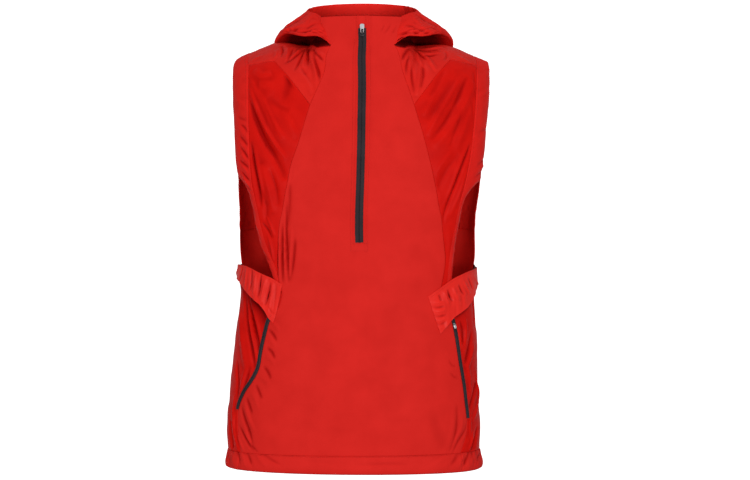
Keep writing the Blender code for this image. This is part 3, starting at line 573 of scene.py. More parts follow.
front_lines = {
    side: {name: drawn(points, "collar") for name, points in FRONT_SEAM[side].items()} for side in (-1, 1)
}
front_sides = [joined(*(front_lines[side][part] for part in ("collar", "yoke", "chest", "side")))
               for side in (-1, 1)]
FRONT_COLUMNS = np.concatenate((  # shares across, closest at the zip
    (0, 0.0025, 0.006), np.linspace(0.012, 0.1, 20), np.linspace(0.107, 0.41, 42),
    np.linspace(0.413, 0.555, 52), np.linspace(0.562, 0.9, 44), np.linspace(0.905, 0.988, 18),
    (0.994, 0.9975, 1)))
front_top, front_low = (np.array([line[end] for line in front_sides]) for end in (0, -1))
front_places = patch(front_top, front_low, *front_sides, step=3.1, columns=FRONT_COLUMNS)
FRONT_CREASES = creased((
    (-118, -255, -120, -310, -117, -352, -115, -387, 3.2, -4, 0.3),
    (-124, -290, -126, -342, -125, -387, 2.8, -3.6, 0.3), (-121, -274, -122, -334, -120, -384, 2, 2.2, 0.2),
    (-128, -274, -130, -334, -129, -384, 2.2, 2.5, 0.2), (-112, -229, -114, -263, -116, -299, 3.5, -2.2, 0.2),
    (-104, -315, -107, -349, -110, -368, -113, -384, 2.4, -2.3, 0.3),
    (-110, -299, -112, -342, -114, -378, 2.8, 2.5, 0.2), (-113, -200, -118, -232, -126, -265, 3.4, 2.2, 0.2),
    (-133, -305, -134, -342, -133, -375, 2.2, -2.5, 0.3), (124, -233, 122, -263, 126, -277, 4, -0.8, 0.1),
    (132, -318, 134, -353, 132, -375, 3.5, -0.8, 0.1), (-144, -447, -135, -453, -130, -461, 2.2, 2.2, 0.4),
    (-148, -458, -140, -466, -134, -477, 2.2, -2, 0.3), (-148, -472, -142, -479, -134, -483, 2.2, 1.7, 0.4),
    (-150, -487, -142, -494, -137, -505, 2.4, -2, 0.3), (-153, -501, -145, -504, -137, -513, 2.2, 1.7, 0.4),
    (-156, -517, -150, -523, -143, -537, 2.4, -2, 0.3), (-163, -533, -155, -536, -145, -548, 2.2, 1.9, 0.4),
    (-168, -546, -163, -558, -158, -569, 2.4, -1.9, 0.3), (-178, -557, -171, -566, -163, -585, 2.2, 1.7, 0.4),
    (-184, -567, -179, -581, -174, -593, 2.4, -2, 0.3),
    (-193, -579, -188, -601, -178, -622, -173, -646, 3, -2.8, 0.4),
    (-188, -575, -181, -598, -169, -622, 3, 1.9, 0.2),
    (-197, -611, -189, -626, -179, -644, -171, -653, 2.6, -2.6, 0.4),
    (-200, -624, -194, -641, -188, -655, 2.4, 2.2, 0.4), (-189, -620, -182, -630, -174, -649, 2.4, 1.9, 0.4),
    (-183, -635, -176, -644, -164, -653, 2.2, -1.7, 0.4),
    (150, -576, 151, -603, 146, -635, 136, -659, 3, -1.3, 0.3),
    (144, -584, 144, -616, 136, -644, 4, 0.9, 0.1),
    (167, -602, 165, -622, 155, -631, 146, -649, 141, -661, 2.4, -1.6, 0.4),
    (160, -595, 159, -617, 150, -630, 142, -646, 2.4, 1.2, 0.3),
    (137, -508, 142, -517, 149, -518, 2, -0.8, 0.4), (139, -527, 146, -536, 154, -537, 2, -0.8, 0.4),
    (132, -495, 139, -504, 147, -503, 2, 0.8, 0.4), (-97, -428, -69, -490, -58, -552, 26, -0.7, 0),
    (91, -459, 67, -525, 66, -600, 26, 0.8, 0), (-50, -459, -26, -524, -34, -615, 30, 0.8, 0),
    (107, -585, 118, -617, 128, -653, 12, -0.8, 0), (-89, -208, -78, -271, -69, -334, 22, -0.6, 0),
    (52, -146, 72, -224, 78, -334, 20, 0.7, 0), (36, 26, 33, 18, 29, 12, 1.8, -0.7, 0.3),
    (47, 28, 41, 17, 33, 8, 2, -0.8, 0.3), (56, 25, 50, 14, 46, 5, 2, -0.7, 0.3),
    (42, 10, 47, 8, 53, 10, 1.6, 0.6, 0.3),
), "collar")
ZIP_LINE = drawn(((0, 18), (0, -60), (-2, -200), (-4, -322)), "collar")
ZIP_HALF_WIDTH, ZIP_FACING = 6.4, 12  # the facing is the folded cloth stitched round the tape


def zip_welts(around, down):
    """The folded edges that stand up beside the zip's tape, and the stitched square under its low end."""
    line = np.stack([np.interp(down, ZIP_LINE[:, 1], ZIP_LINE[:, k]) for k in (0, 1)], -1)
    squeeze = np.interp(SHOULDER_ARC - SHOULDER_DROP - down, LEVELS, FORM["half_width"]) / CHEST_HALF_WIDTH
    beside = np.abs(around - line[..., 0]) * squeeze
    past = down - ZIP_LINE[-1, 1]
    above = ramp(down, ZIP_LINE[0, 1] - 26, ZIP_LINE[0, 1] - 24)
    fold = 1.25 * np.exp(-((beside - ZIP_HALF_WIDTH - 1.6) / 1.3) ** 2) * (1 - ramp(past, 0, 1.6))
    square = ramp(beside, ZIP_FACING + 1.5, ZIP_FACING) * ramp(past, 12.5, 11)
    return (fold + 0.35 * square) * above


def front_waves(around, down):
    return 0.35 * uneven(around, down, 60, seed=3, stretch=2.5)


def front_relief(around, down):
    return (front_waves(around, down) + crease_relief(FRONT_CREASES, around, down)
            + zip_welts(around, down))


front_around, front_down = front_places[..., 0], front_places[..., 1]
front_lift = (front_relief(front_around, front_down)
              + seam_roll(front_places.shape[:2], ("left", "right")) * ramp(front_down, 75, 115)
              + seam_roll(front_places.shape[:2], ("low",), depth=0.4))
sew("front_panel", front_places, "collar", front_lift, (), SMOOTH_CLOTH)


def bead_tree():
    """Geometry nodes that set small oval beads along lines: the ribs over a coil, or stitches of thread."""
    tree = bpy.data.node_groups.new("beads_along_lines", "GeometryNodeTree")
    tree.interface.new_socket("Lines", in_out="INPUT", socket_type="NodeSocketGeometry")
    for name in ("Pitch", "Along", "Deep", "Wide"):
        tree.interface.new_socket(name, in_out="INPUT", socket_type="NodeSocketFloat")
    tree.interface.new_socket("Finish", in_out="INPUT", socket_type="NodeSocketMaterial")
    tree.interface.new_socket("Beads", in_out="OUTPUT", socket_type="NodeSocketGeometry")
    nodes = tree.nodes
    given, result = nodes.new("NodeGroupInput"), nodes.new("NodeGroupOutput")
    curve, points = nodes.new("GeometryNodeMeshToCurve"), nodes.new("GeometryNodeCurveToPoints")
    points.mode = "LENGTH"
    bead, size = nodes.new("GeometryNodeMeshUVSphere"), nodes.new("ShaderNodeCombineXYZ")
    bead.inputs["Segments"].default_value = 6
    bead.inputs["Rings"].default_value = 4
    bead.inputs["Radius"].default_value = 1
    turn = nodes.new("FunctionNodeAlignRotationToVector")
    spread_out = nodes.new("GeometryNodeInstanceOnPoints")
    turn.axis = "X"
    real, smooth, finish = (nodes.new("GeometryNode" + kind) for kind in (
        "RealizeInstances", "SetShadeSmooth", "SetMaterial"))
    wire(tree, (
        (given, "Lines", curve, "Mesh"), (curve, "Curve", points, "Curve"),
        (given, "Pitch", points, "Length"),
        (given, "Along", size, "X"), (given, "Deep", size, "Y"), (given, "Wide", size, "Z"),
        (points, "Tangent", turn, "Vector"), (points, "Points", spread_out, "Points"),
        (bead, "Mesh", spread_out, "Instance"), (turn, "Rotation", spread_out, "Rotation"),
        (size, "Vector", spread_out, "Scale"), (spread_out, "Instances", real, "Geometry"),
        (real, "Geometry", smooth, "Geometry"), (smooth, "Geometry", finish, "Geometry"),
        (given, "Finish", finish, "Material"), (finish, "Geometry", result, "Beads")))
    return tree


BEADS = bead_tree()


def beads(name, lines, sizes, finish):
    """One mesh of beads along lines of points in millimetres."""
    points = np.concatenate(lines) * 0.001
    starts = np.cumsum([0] + [len(line) for line in lines])
    edges = [(k, k + 1) for a, b in zip(starts[:-1], starts[1:]) for k in range(a, b - 1)]
    guide = bpy.data.meshes.new(name + "_guide")
    guide.from_pydata(points.tolist(), edges, [])
    piece = placed(name, guide)
    modifier = piece.modifiers.new("beads", "NODES")
    modifier.node_group = BEADS
    sockets = {item.name: item.identifier for item in BEADS.interface.items_tree if item.in_out == "INPUT"}
    for key, value in sizes.items():
        modifier[sockets[key]] = value
    modifier[sockets["Finish"]] = finish
    made = bpy.data.meshes.new_from_object(piece.evaluated_get(bpy.context.evaluated_depsgraph_get()))
    piece.modifiers.remove(modifier)
    piece.data = made
    made.name = name
    bpy.data.meshes.remove(guide)
    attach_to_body(piece, "vest")
    return piece


STITCH = {"Pitch": 0.0034, "Along": 0.0013, "Deep": 0.0002, "Wide": 0.00032}  # metres
STITCH_LIFT = 0.12
THREAD = woven("sewing_thread", (0.58, 0.012, 0.008), (0.5, 0.01, 0.007), roughness=0.5, shine=0.2)


def stitched(places, half, relief):
    """A row of stitches at places on a piece with this relief."""
    return on_form(places, half, relief + STITCH_LIFT)


def zip_stitches():
    """Two rows down the facing's edges and two across the square under it."""
    left, right = -13.2, 12.0
    rows = []
    for offset in (left, right):
        down = np.arange(ZIP_LINE[0, 1] + 6, ZIP_LINE[-1, 1] + 13, 1.5)
        rows.append((np.interp(down, ZIP_LINE[:, 1], ZIP_LINE[:, 0]) + offset, down))
    for below in (1.5, 13):
        around = ZIP_LINE[-1, 0] + np.arange(left, right + 0.1, 1.2)
        rows.append((around, np.full(around.shape, ZIP_LINE[-1, 1] + below)))
    return [stitched(np.stack(row, -1), "collar", front_relief(*row)) for row in rows]


beads("zip_topstitch", zip_stitches(), STITCH, THREAD)

# ---------------------------------------------------------------------------------------------------------
# Chest sides: thin, darker nylon between the front panel and the armholes. They hang in soft slanting
# folds from the armhole. Sewn to the front panel, the yokes and the armholes' bands.
YOKE_CORNER = {-1: (-140, -32), 1: (141, -29)}
ARMBAND_SEAM = {
    -1: ((-182, -37), (-181, -127), (-179, -182), (-175, -229), (-167, -263), (-159, -302), (-148, -337),
         (-134, -365), (-132, -386)),
    1: ((184, -37), (179, -127), (172, -182), (163, -229), (154, -262), (147, -300), (139, -337), (136, -365),
        (135, -388)),
}
THIN_CLOTH = woven("thin_crinkled_cloth", (0.66, 0.0065, 0.003), (0.54, 0.004, 0.002), roughness=0.45,
                   shine=0.05, mottling=0.1)
yoke_low = {
    side: joined(*(drawn(pair, "front") for pair in (
        (ARMBAND_SEAM[side][0], YOKE_CORNER[side]), (YOKE_CORNER[side], FRONT_SEAM[side]["yoke"][-1]))))
    for side in (-1, 1)
}
armband_seam = {side: drawn(ARMBAND_SEAM[side], "front") for side in (-1, 1)}
CHEST_CREASES = {
    -1: (
        (-179, -62, -157, -98, -139, -135, -122, -159, 4, 1.7, 0.2),
        (-179, -76, -164, -119, -141, -162, -119, -192, 4.2, 2.4, 0.2),
        (-179, -96, -166, -139, -153, -165, -130, -197, -121, -224, 6, -3, 0.1),
        (-172, -70, -152, -110, -135, -145, 3, -1.3, 0.2),
        (-178, -160, -172, -192, -165, -223, -159, -268, 4.2, -3.6, 0.4),
        (-172, -173, -162, -216, -154, -258, 5, 1.6, 0.1), (-158, -197, -146, -239, -140, -276, 6, 1.5, 0.1),
        (-145, -205, -135, -236, -132, -265, 4, -1.4, 0.2), (-116, -46, -118, -75, -124, -104, 9, -2.2, 0),
        (-158, -290, -148, -302, -142, -316, 2.2, -1.4, 0.5),
        (-163, -301, -155, -315, -152, -334, 2.4, 1.3, 0.4),
        (-151, -280, -143, -296, -138, -312, 2.2, 1.2, 0.4),
        (-155, -318, -148, -334, -145, -353, 2.4, -1.5, 0.4),
        (-148, -312, -142, -331, -140, -353, 2.2, 1.2, 0.4), (-172, -47, -159, -58, -143, -53, 6, 1.3, 0.1),
        (-165, -70, -149, -71, -136, -84, 7, 0.9, 0), (-149, -90, -136, -104, -113, -114, 7, -0.9, 0),
        (-129, -116, -116, -129, -103, -158, 6, 0.9, 0), (-158, -239, -151, -264, -151, -290, 4, -1.2, 0.2),
    ),
    1: (
        (142, -61, 123, -97, 102, -133, 7, -2, 0.1),
        (159, -58, 139, -89, 115, -128, 102, -155, 4.6, 2.2, 0.1),
        (168, -57, 148, -103, 129, -137, 108, -161, 5, -2.6, 0.2),
        (181, -66, 160, -109, 139, -145, 113, -172, 5, 1.7, 0.1),
        (160, -109, 152, -133, 138, -172, 3.6, -1.2, 0.2), (171, -115, 161, -144, 148, -176, 4.5, 1, 0.1),
        (179, -150, 164, -184, 151, -220, 134, -261, 126, -293, 3.4, -3.2, 0.5),
        (182, -172, 169, -204, 156, -242, 139, -280, 4, 1.6, 0.2),
        (168, -169, 154, -198, 140, -239, 129, -268, 4, 1.2, 0.2),
        (153, -181, 132, -208, 118, -240, 6, -1.6, 0.1), (142, -179, 124, -199, 114, -218, 5, 1, 0.1),
        (130, -45, 120, -72, 107, -94, 6, -1.4, 0), (117, -85, 104, -110, 96, -123, 4, 1, 0.1),
        (178, -47, 181, -76, 183, -102, 4, -1, 0.2), (136, -296, 139, -328, 141, -362, 5, 0.8, 0),
        (174, -96, 178, -124, 181, -146, 4, -0.8, 0.1),
    ),
}


def chest(side, name):
    inner, outer = front_lines[side]["chest"], armband_seam[side]
    places = patch(yoke_low[side], np.array((outer[-1], inner[-1])), outer, inner, step=2.0)
    around, down = places[..., 0], places[..., 1]
    relief = (crease_relief(creased(CHEST_CREASES[side], "front", 1.7 - 0.35 * side), around, down)
              * seam_hold(places, ALL_ROUND)
              + 0.45 * uneven(around, down, 13, seed=11 + side, turn=62 * side, stretch=2.4))
    sew(name, places, "front", relief, ALL_ROUND, THIN_CLOTH)


for side, word in SIDES:
    chest(side, "chest_" + word)

# ---------------------------------------------------------------------------------------------------------
# Yokes: light cloth gathered under the hood's neck seam, from the shoulder seam down to a point beside the
# front panel. The gathers open out into short wrinkles.
SHOULDER_AT_BAND = 183
GATHERED_CLOTH = woven("gathered_cloth", (0.7, 0.017, 0.011), (0.62, 0.013, 0.009), roughness=0.45,
                       shine=0.05)
YOKE_CREASES = {
    -1: (
        (-91, -10, -95, -23, -101, -40, -108, -51, 2.2, -1.7, 0.4),
        (-92, -10, -103, -23, -116, -34, -125, -39, 2.4, -1.6, 0.4),
        (-86, -10, -85, -23, -86, -43, 2, -1.4, 0.4), (-81, -12, -71, -24, -60, -37, 2.2, -1.6, 0.4),
        (-79, -20, -74, -37, -65, -63, -64, -82, 2.6, -1.8, 0.3),
        (-130, -3, -126, -14, -129, -27, 2.2, -1.5, 0.4), (-97, -8, -103, -18, -113, -28, 2.4, 1.6, 0.3),
        (-89, -10, -91, -27, -95, -46, 2.2, 1.6, 0.3),
        (-83, -12, -79, -30, -73, -53, -71, -73, 2.6, 2.2, 0.3),
        (-76, -14, -68, -24, -59, -27, 2.2, 1.4, 0.3), (-120, -6, -118, -19, -121, -33, 2.4, 1.2, 0.3),
        (-138, -12, -136, -20, -138, -29, 2.4, 1, 0.3), (-110, -8, -113, -20, -119, -36, 2, -1.1, 0.3),
        (-90, -56, -84, -72, -77, -89, 3.4, 1.1, 0.1), (-98, -43, -88, -59, -80, -79, 3, -1, 0.1),
        (-160, -20, -170, -26, -179, -30, 4, 0.8, 0.1),
    ),
    1: (
        (78, -10, 68, -22, 60, -37, 57, -50, 2.4, -1.7, 0.4), (78, -12, 71, -33, 68, -60, 2.2, -1.5, 0.4),
        (79, -14, 76, -40, 79, -69, 82, -88, 2.4, -1.6, 0.3),
        (82, -10, 90, -20, 100, -30, 108, -36, 2.4, -1.7, 0.4), (87, -12, 103, -15, 121, -12, 2.2, -1.5, 0.4),
        (92, -25, 106, -25, 122, -19, 2.4, -1.4, 0.4), (79, -12, 73, -27, 66, -40, 2, 1.5, 0.3),
        (79, -17, 77, -40, 74, -66, 2.4, 2, 0.3), (84, -13, 88, -30, 98, -46, 2.8, 1.7, 0.3),
        (89, -15, 103, -30, 118, -52, 3.6, 2, 0.2), (98, -11, 113, -11, 130, -7, 2.4, 1.2, 0.3),
        (98, -20, 112, -21, 127, -17, 2, 1.2, 0.3), (92, -40, 90, -63, 86, -92, 3, 1.5, 0.2),
        (96, -36, 98, -59, 93, -79, 2.8, -1.3, 0.2), (134, -15, 135, -24, 130, -32, 2.6, -1, 0.3),
        (150, -22, 159, -26, 172, -32, 4, 0.8, 0.1),
    ),
}
# Painted shade on the yokes' tops above these heights, at distances from the vest's middle, where the hood
# hides them.
UNDER_HOOD = {
    -1: {49: -10, 57: -11, 71: -12, 81: -6, 94: -4.5, 102: -4, 117: 0.2, 129: 4, 150: 12},
    1: {50: -9, 58: -12, 67: -13, 73: -10, 85: -6, 112: -3, 137: 0.7, 150: 8},
}


def shoulder_seam(side, start, end, half):
    across = np.linspace(start, end, 30)
    height = between(SHOULDER_LINE[side], across)
    return unroll(np.interp(height, LEVELS, FORM["centre"]) + side * across, height, half)


def yoke(side, name):
    inner = front_lines[side]["yoke"]
    share = np.linspace(0, 1, 30)
    corner = FRONT_SEAM[side]["yoke"][0]
    x = side * NECK_HALF_WIDTH + (corner[0] - side * NECK_HALF_WIDTH) * share
    height = corner[1] * share - 2 * np.sin(math.pi * share)
    top = joined(shoulder_seam(side, SHOULDER_AT_BAND, NECK_HALF_WIDTH, "front"), unroll(x, height, "front"))
    outer = np.array((top[0], armband_seam[side][0]))
    places = patch(top, yoke_low[side], outer, inner, step=1.6)
    around, down = places[..., 0], places[..., 1]
    relief = (crease_relief(creased(YOKE_CREASES[side], "front", depth=1.8), around, down)
              * seam_hold(places, ("left", "right", "low"))
              + 0.25 * uneven(around, down, 11, seed=21 + side, turn=80, stretch=1.6))
    x, _, height = np.moveaxis(skin(around, down, "front"), -1, 0)
    # Painted shade: the yoke darkened near its top, under the hood.
    hidden = 0.96 * np.clip((height + relief - between(UNDER_HOOD[side], np.abs(x))) / 2.5 + 0.5, 0, 1)
    sew(name, places, "front", relief, ALL_ROUND, GATHERED_CLOTH,
        shade=hidden)


for side, word in SIDES:
    yoke(side, "yoke_" + word)

# ---------------------------------------------------------------------------------------------------------
# Armhole bands: folded strips of the shell cloth round each armhole, sewn on from the shoulder down, in
# front to the flap and behind to the armhole's low end.
ARMHOLE_EDGE = {
    -1: ((-187, -229), (-176, -278), (-168, -323), (-160, -343), (-148, -356), (-140, -382)),
    1: ((172, -238), (163, -262), (161, -286), (152, -329), (148, -350), (143, -384)),
}
EDGE_LEAVES = {-1: -206, 1: -222}  # height below which a front band's edge leaves the side of the body
ARMBAND_WIDTH, BACK_BAND_END = 22, -300
# How far a front band turns in to the armhole, at distances down the unrolled cloth.
BAND_TURNED_IN = {0: 0, 150: 0, 195: 2.5, 225: 3.5, 262: 6, 300: 9, 380: 9, 430: 3}
BAND_CREASES = {
    -1: (
        (-195, -133, -188, -138, -181, -148, 2, -1.4, 0.5),
        (-196, -143, -188, -150, -181, -158, 1.8, 1.2, 0.4),
        (-196, -152, -189, -159, -181, -169, 2, -1.6, 0.5),
        (-196, -162, -188, -170, -181, -177, 1.8, 1.3, 0.4),
        (-194, -170, -188, -178, -179, -190, 2.2, -1.9, 0.5),
        (-194, -180, -188, -188, -179, -196, 1.8, 1.5, 0.4),
        (-196, -191, -188, -197, -179, -204, 2.2, -1.7, 0.5),
        (-194, -199, -186, -205, -179, -215, 1.8, 1.3, 0.4),
        (-194, -208, -188, -215, -177, -225, 2, -1.7, 0.5),
        (-193, -216, -186, -224, -177, -234, 1.8, 1.3, 0.4),
        (-193, -226, -184, -234, -176, -240, 2, -1.3, 0.5), (-186, -242, -179, -248, -174, -260, 2, -1, 0.4),
        (-202, -94, -192, -101, -183, -105, 3, 0.6, 0.1), (-200, -120, -191, -126, -181, -129, 3, -0.7, 0.2),
        (-179, -263, -174, -274, -169, -280, 2, -1.1, 0.4), (-174, -286, -169, -296, -164, -301, 2, 1, 0.4),
        (-171, -302, -166, -313, -160, -318, 2, -1.1, 0.4), (-165, -323, -158, -334, -152, -337, 2, 1, 0.4),
        (-158, -340, -152, -348, -145, -351, 2, -1, 0.4),
    ),
    1: (
        (201, -186, 192, -193, 183, -199, 2, -1.1, 0.4), (201, -197, 192, -202, 181, -208, 1.8, 0.9, 0.4),
        (198, -207, 188, -212, 179, -219, 2, -1.2, 0.4), (196, -216, 187, -222, 178, -229, 1.8, 0.9, 0.4),
        (193, -226, 183, -233, 176, -238, 2, -1.3, 0.4), (190, -237, 180, -243, 173, -250, 1.8, 1, 0.4),
        (171, -254, 166, -262, 161, -267, 2, -1, 0.4), (165, -280, 160, -288, 155, -291, 2, 0.9, 0.4),
        (160, -302, 155, -312, 150, -315, 2, -1, 0.4), (155, -328, 150, -335, 145, -339, 2, 0.9, 0.4),
        (202, -77, 193, -85, 184, -87, 3, 0.6, 0.1), (202, -138, 191, -143, 182, -148, 3, -0.6, 0.2),
    ),
}
# Painted light: a lighter copy of the shell cloth, to make up for how the bands turn away from the light.
BAND_CLOTH = woven("armhole_band_cloth", (0.74, 0.014, 0.01), (0.66, 0.012, 0.008), roughness=0.5, shine=0.05)


def armhole_side(side, heights, half):
    """Places down the armhole's edge where it lies on the side of the body."""
    angle = 90.0 * side if half == "front" or side == 1 else 270.0
    return unroll(0, heights, half, angle=np.full(len(heights), angle))


def armband(name, places, half, relief):
    """A band with a row of stitches near its seam and one near the armhole's edge."""
    for column in (-4, 3):
        band_stitches.append(stitched(places[4:-4, column], half, relief[4:-4, column]))
    sew(name, places, half, relief, ("top", "low", "right"), BAND_CLOTH, wall=1.4)


def armband_front(side, name):
    inner = joined(np.array((shoulder_seam(side, SHOULDER_AT_BAND, NECK_HALF_WIDTH, "front")[0],
                             armband_seam[side][0])), armband_seam[side])
    upper = armhole_side(side, np.linspace(SHOULDER_LINE[side][SHOULDER_END], EDGE_LEAVES[side], 20), "front")
    lower = unroll(*np.array(ARMHOLE_EDGE[side], float).T, "front")
    outer = eased(np.concatenate((upper, lower)), 18)
    top = shoulder_seam(side, SHOULDER_END, SHOULDER_AT_BAND, "front")
    places = patch(top, np.array((outer[-1], inner[-1])), outer, inner, step=1.8)
    around, down = places[..., 0], places[..., 1]
    inwards = np.linspace(1, 0, around.shape[1])[None, :] ** 2
    relief = (crease_relief(creased(BAND_CREASES[side], "front", depth=1.6), around, down)
              * seam_hold(places, ("right",)) - between(BAND_TURNED_IN, down[:, :1]) * inwards
              + 0.25 * uneven(around, down, 10, seed=31 + side))
    armband(name, places, "front", relief)


def back_band_seam(side):
    """The seam between the back panel and the back half of an armhole's band."""
    heights = np.linspace(between(SHOULDER_LINE[side], SHOULDER_AT_BAND), BACK_BAND_END, 60)
    width = np.interp(heights, LEVELS, FORM["half_width"]) - ARMBAND_WIDTH
    width[0] = SHOULDER_AT_BAND
    return eased(unroll(np.interp(heights, LEVELS, FORM["centre"]) + side * width, heights, "back"), 6)


def armband_back(side, name):
    inner = back_band_seam(side)
    outer = armhole_side(side, np.linspace(SHOULDER_LINE[side][SHOULDER_END], BACK_BAND_END - 3, 40), "back")
    top = shoulder_seam(side, SHOULDER_END, SHOULDER_AT_BAND, "back")
    places = patch(top, np.array((outer[-1], inner[-1])), outer, inner, step=2.0)
    around, down = places[..., 0], places[..., 1]
    relief = 0.5 * uneven(around, down, 9, seed=35 + side) * np.clip(0.3 + down / 250, 0, 1)
    armband(name, places, "back", relief)


band_stitches = []
for side, word in SIDES:
    armband_front(side, "armband_front_" + word)
    armband_back(side, "armband_back_" + word)
beads("armhole_stitches", band_stitches, STITCH, THREAD)

# ---------------------------------------------------------------------------------------------------------
# Back panel: one piece of the shell cloth from the shoulders and the hood's seam down to the hem, sewn to
# the side panels behind the arms.
SIDE_SEAM_ANGLE = 97
ARMHOLE_BASE = -357
BACK_NECK_DROP = 8


def side_seam(side, half):
    """The seam between the back panel and a lower side panel."""
    angle = SIDE_SEAM_ANGLE * side
    if half == "back":
        angle %= 360
    return unroll(0, np.linspace(ARMHOLE_BASE, HEM_STITCH, 80), half, angle=np.full(80, float(angle)))


def back_side(side):
    """A side border of the back panel, from the shoulder down to the hem."""
    band = back_band_seam(side)
    corner = armhole_side(side, (BACK_BAND_END - 3, BACK_BAND_END - 12), "back")
    return np.concatenate((band, corner, side_seam(side, "back")))


turns = math.pi / 2 * np.linspace(1, -1, 60)
neck = unroll(-NECK_HALF_WIDTH * np.sin(turns), -BACK_NECK_DROP * np.cos(turns), "back")
back_top = joined(
    shoulder_seam(1, SHOULDER_AT_BAND, NECK_HALF_WIDTH, "back"), neck[::-1],
    shoulder_seam(-1, NECK_HALF_WIDTH, SHOULDER_AT_BAND, "back"))
back_sides = back_side(1), back_side(-1)
back_places = patch(back_top, np.array((back_sides[0][-1], back_sides[1][-1])), *back_sides, step=5.2)
back_around, back_down = back_places[..., 0], back_places[..., 1]
back_across = np.abs(back_around / SIDE - 2)  # 0 in the middle of the back, 1 at the sides
by_armhole = ramp(back_across, 0.45, 0.8) * ramp(back_down, 360, 270)
# Painted light: a lighter copy of the shell cloth, to make up for the little light that reaches its inside
# through the armholes.
BACK_CLOTH = woven("back_cloth", (0.86, 0.022, 0.016), (0.76, 0.018, 0.013), roughness=0.6, shine=0.05)
back_relief = seam_hold(back_places, ALL_ROUND) * (
    0.8 * uneven(back_around, back_down, 70, seed=5)
    + 2.2 * by_armhole * uneven(back_around, back_down, 15, seed=6, turn=20, stretch=3.0)
    + 1.6 * uneven(back_around, back_down, 42, seed=8, turn=10, stretch=3.0))
sew("back_panel", back_places, "back", back_relief, ALL_ROUND, BACK_CLOTH)

# ---------------------------------------------------------------------------------------------------------
# Flaps: gathered pieces of light cloth over the armholes' low ends, from the front panel's seam round to the
# sides. Sewn along the top and at both ends, and hanging free below.
FLAP_TOP = {  # turns in degrees and heights
    -1: ((38, -388), (44, -378), (51, -372), (58, -365), (66, -359), (82, -357), (97, -358)),
    1: ((36, -407), (43, -394), (52, -379), (59, -373), (66, -368), (82, -363), (97, -361)),
}
FLAP_LOW = {
    -1: ((42, -449), (46, -441), (48, -431), (53, -419), (61, -408), (76, -385), (97, -373)),
    1: ((43, -466), (48, -452), (53, -439), (60, -431), (67, -422), (84, -393), (97, -376)),
}
FLAP_CREASES = {
    -1: (
        (-189, -356, -190, -369, -194, -386, 2, -1.7, 0.4), (-198, -357, -198, -366, -200, -377, 2, 1.2, 0.4),
        (-182, -359, -182, -375, -184, -398, 2.6, 1.8, 0.3),
        (-174, -361, -174, -378, -176, -401, 2.2, -2, 0.4),
        (-167, -367, -168, -386, -170, -407, 2.6, 1.8, 0.3),
        (-158, -370, -161, -388, -163, -410, 2.4, -2.1, 0.4),
        (-150, -376, -155, -397, -158, -418, 2.8, 2, 0.3),
        (-143, -384, -147, -403, -152, -422, 2.2, -1.9, 0.4),
        (-139, -384, -142, -406, -147, -432, 2.4, 1.4, 0.3),
        (-134, -387, -136, -409, -140, -438, 2.2, -1.2, 0.3),
        (-127, -389, -126, -409, -129, -438, 3.2, 2.8, 0.3),
        (-119, -393, -122, -412, -127, -441, 2.2, -1.6, 0.4),
        (-148, -422, -142, -432, -132, -438, 2, -1, 0.4),
    ),
    1: (
        (107, -415, 116, -417, 126, -416, 2, 1.3, 0.4), (107, -422, 118, -425, 129, -422, 2, -1.3, 0.4),
        (108, -428, 120, -431, 132, -428, 2.2, 1.6, 0.4), (110, -436, 120, -439, 132, -436, 2, -1.5, 0.4),
        (112, -442, 121, -446, 132, -441, 2, 1.4, 0.4), (113, -449, 123, -452, 131, -447, 2, -1.3, 0.4),
        (116, -456, 123, -458, 128, -454, 2, 1.1, 0.4), (134, -395, 137, -406, 142, -416, 2.2, -1.8, 0.4),
        (128, -398, 132, -411, 137, -421, 2.4, 1.5, 0.3), (142, -391, 146, -404, 152, -413, 2.4, 1.4, 0.3),
        (151, -388, 155, -397, 160, -406, 2.2, -1.7, 0.4), (159, -383, 164, -394, 169, -404, 2.4, 1.4, 0.3),
        (167, -377, 171, -388, 174, -398, 2.2, -1.4, 0.4), (176, -373, 179, -382, 183, -393, 2.4, 1.3, 0.3),
        (120, -403, 123, -411, 124, -416, 2.2, -1.2, 0.3),
    ),
}
# Painted light: a lighter copy of the yokes' gathered cloth, to make up for how the flaps slope away from the
# light.
FLAP_CLOTH = woven("flap_cloth", (0.8, 0.021, 0.014), (0.73, 0.018, 0.012), roughness=0.4, shine=0.1)
flap_lines = {}
for side in (-1, 1):
    for table in (FLAP_TOP, FLAP_LOW):
        angles, heights = np.array(table[side], float).T
        flap_lines.setdefault(side, []).append(eased(unroll(0, heights, "side", angle=side * angles), 5))


def flap(side, name):
    top, low = flap_lines[side]
    places = patch(top, low, np.array((top[0], low[0])), np.array((top[-1], low[-1])), step=1.4)
    around, down = places[..., 0], places[..., 1]
    fall = np.linspace(0, 1, around.shape[0])[:, None]
    along = np.linspace(0, 1, around.shape[1])[None, :]
    free = ramp(along, 0, 0.3) ** 0.8 * np.clip((1 - along) / 0.08, 0.2, 1)
    on_front = front_relief(around, down) + 1.1
    lift = on_front * (1 - free) + (1.9 + 3.1 * fall) * free
    gathers = (crease_relief(creased(FLAP_CREASES[side], "front", depth=1.5), around, down)
               + 0.9 * uneven(around, down, 7, seed=51 + side, stretch=3.0) * fall ** 0.5)
    relief = lift + gathers * np.clip(along / 0.12, 0.25, 1) * ramp(along, 1, 0.9)
    flap_stitches.append(stitched(places[3, 4:-4], "side", relief[3, 4:-4]))
    sew(name, places, "side", relief, (), FLAP_CLOTH, wall=0.8)


flap_stitches = []
for side, word in SIDES:
    flap(side, "flap_" + word)
beads("flap_stitches", flap_stitches, STITCH, THREAD)

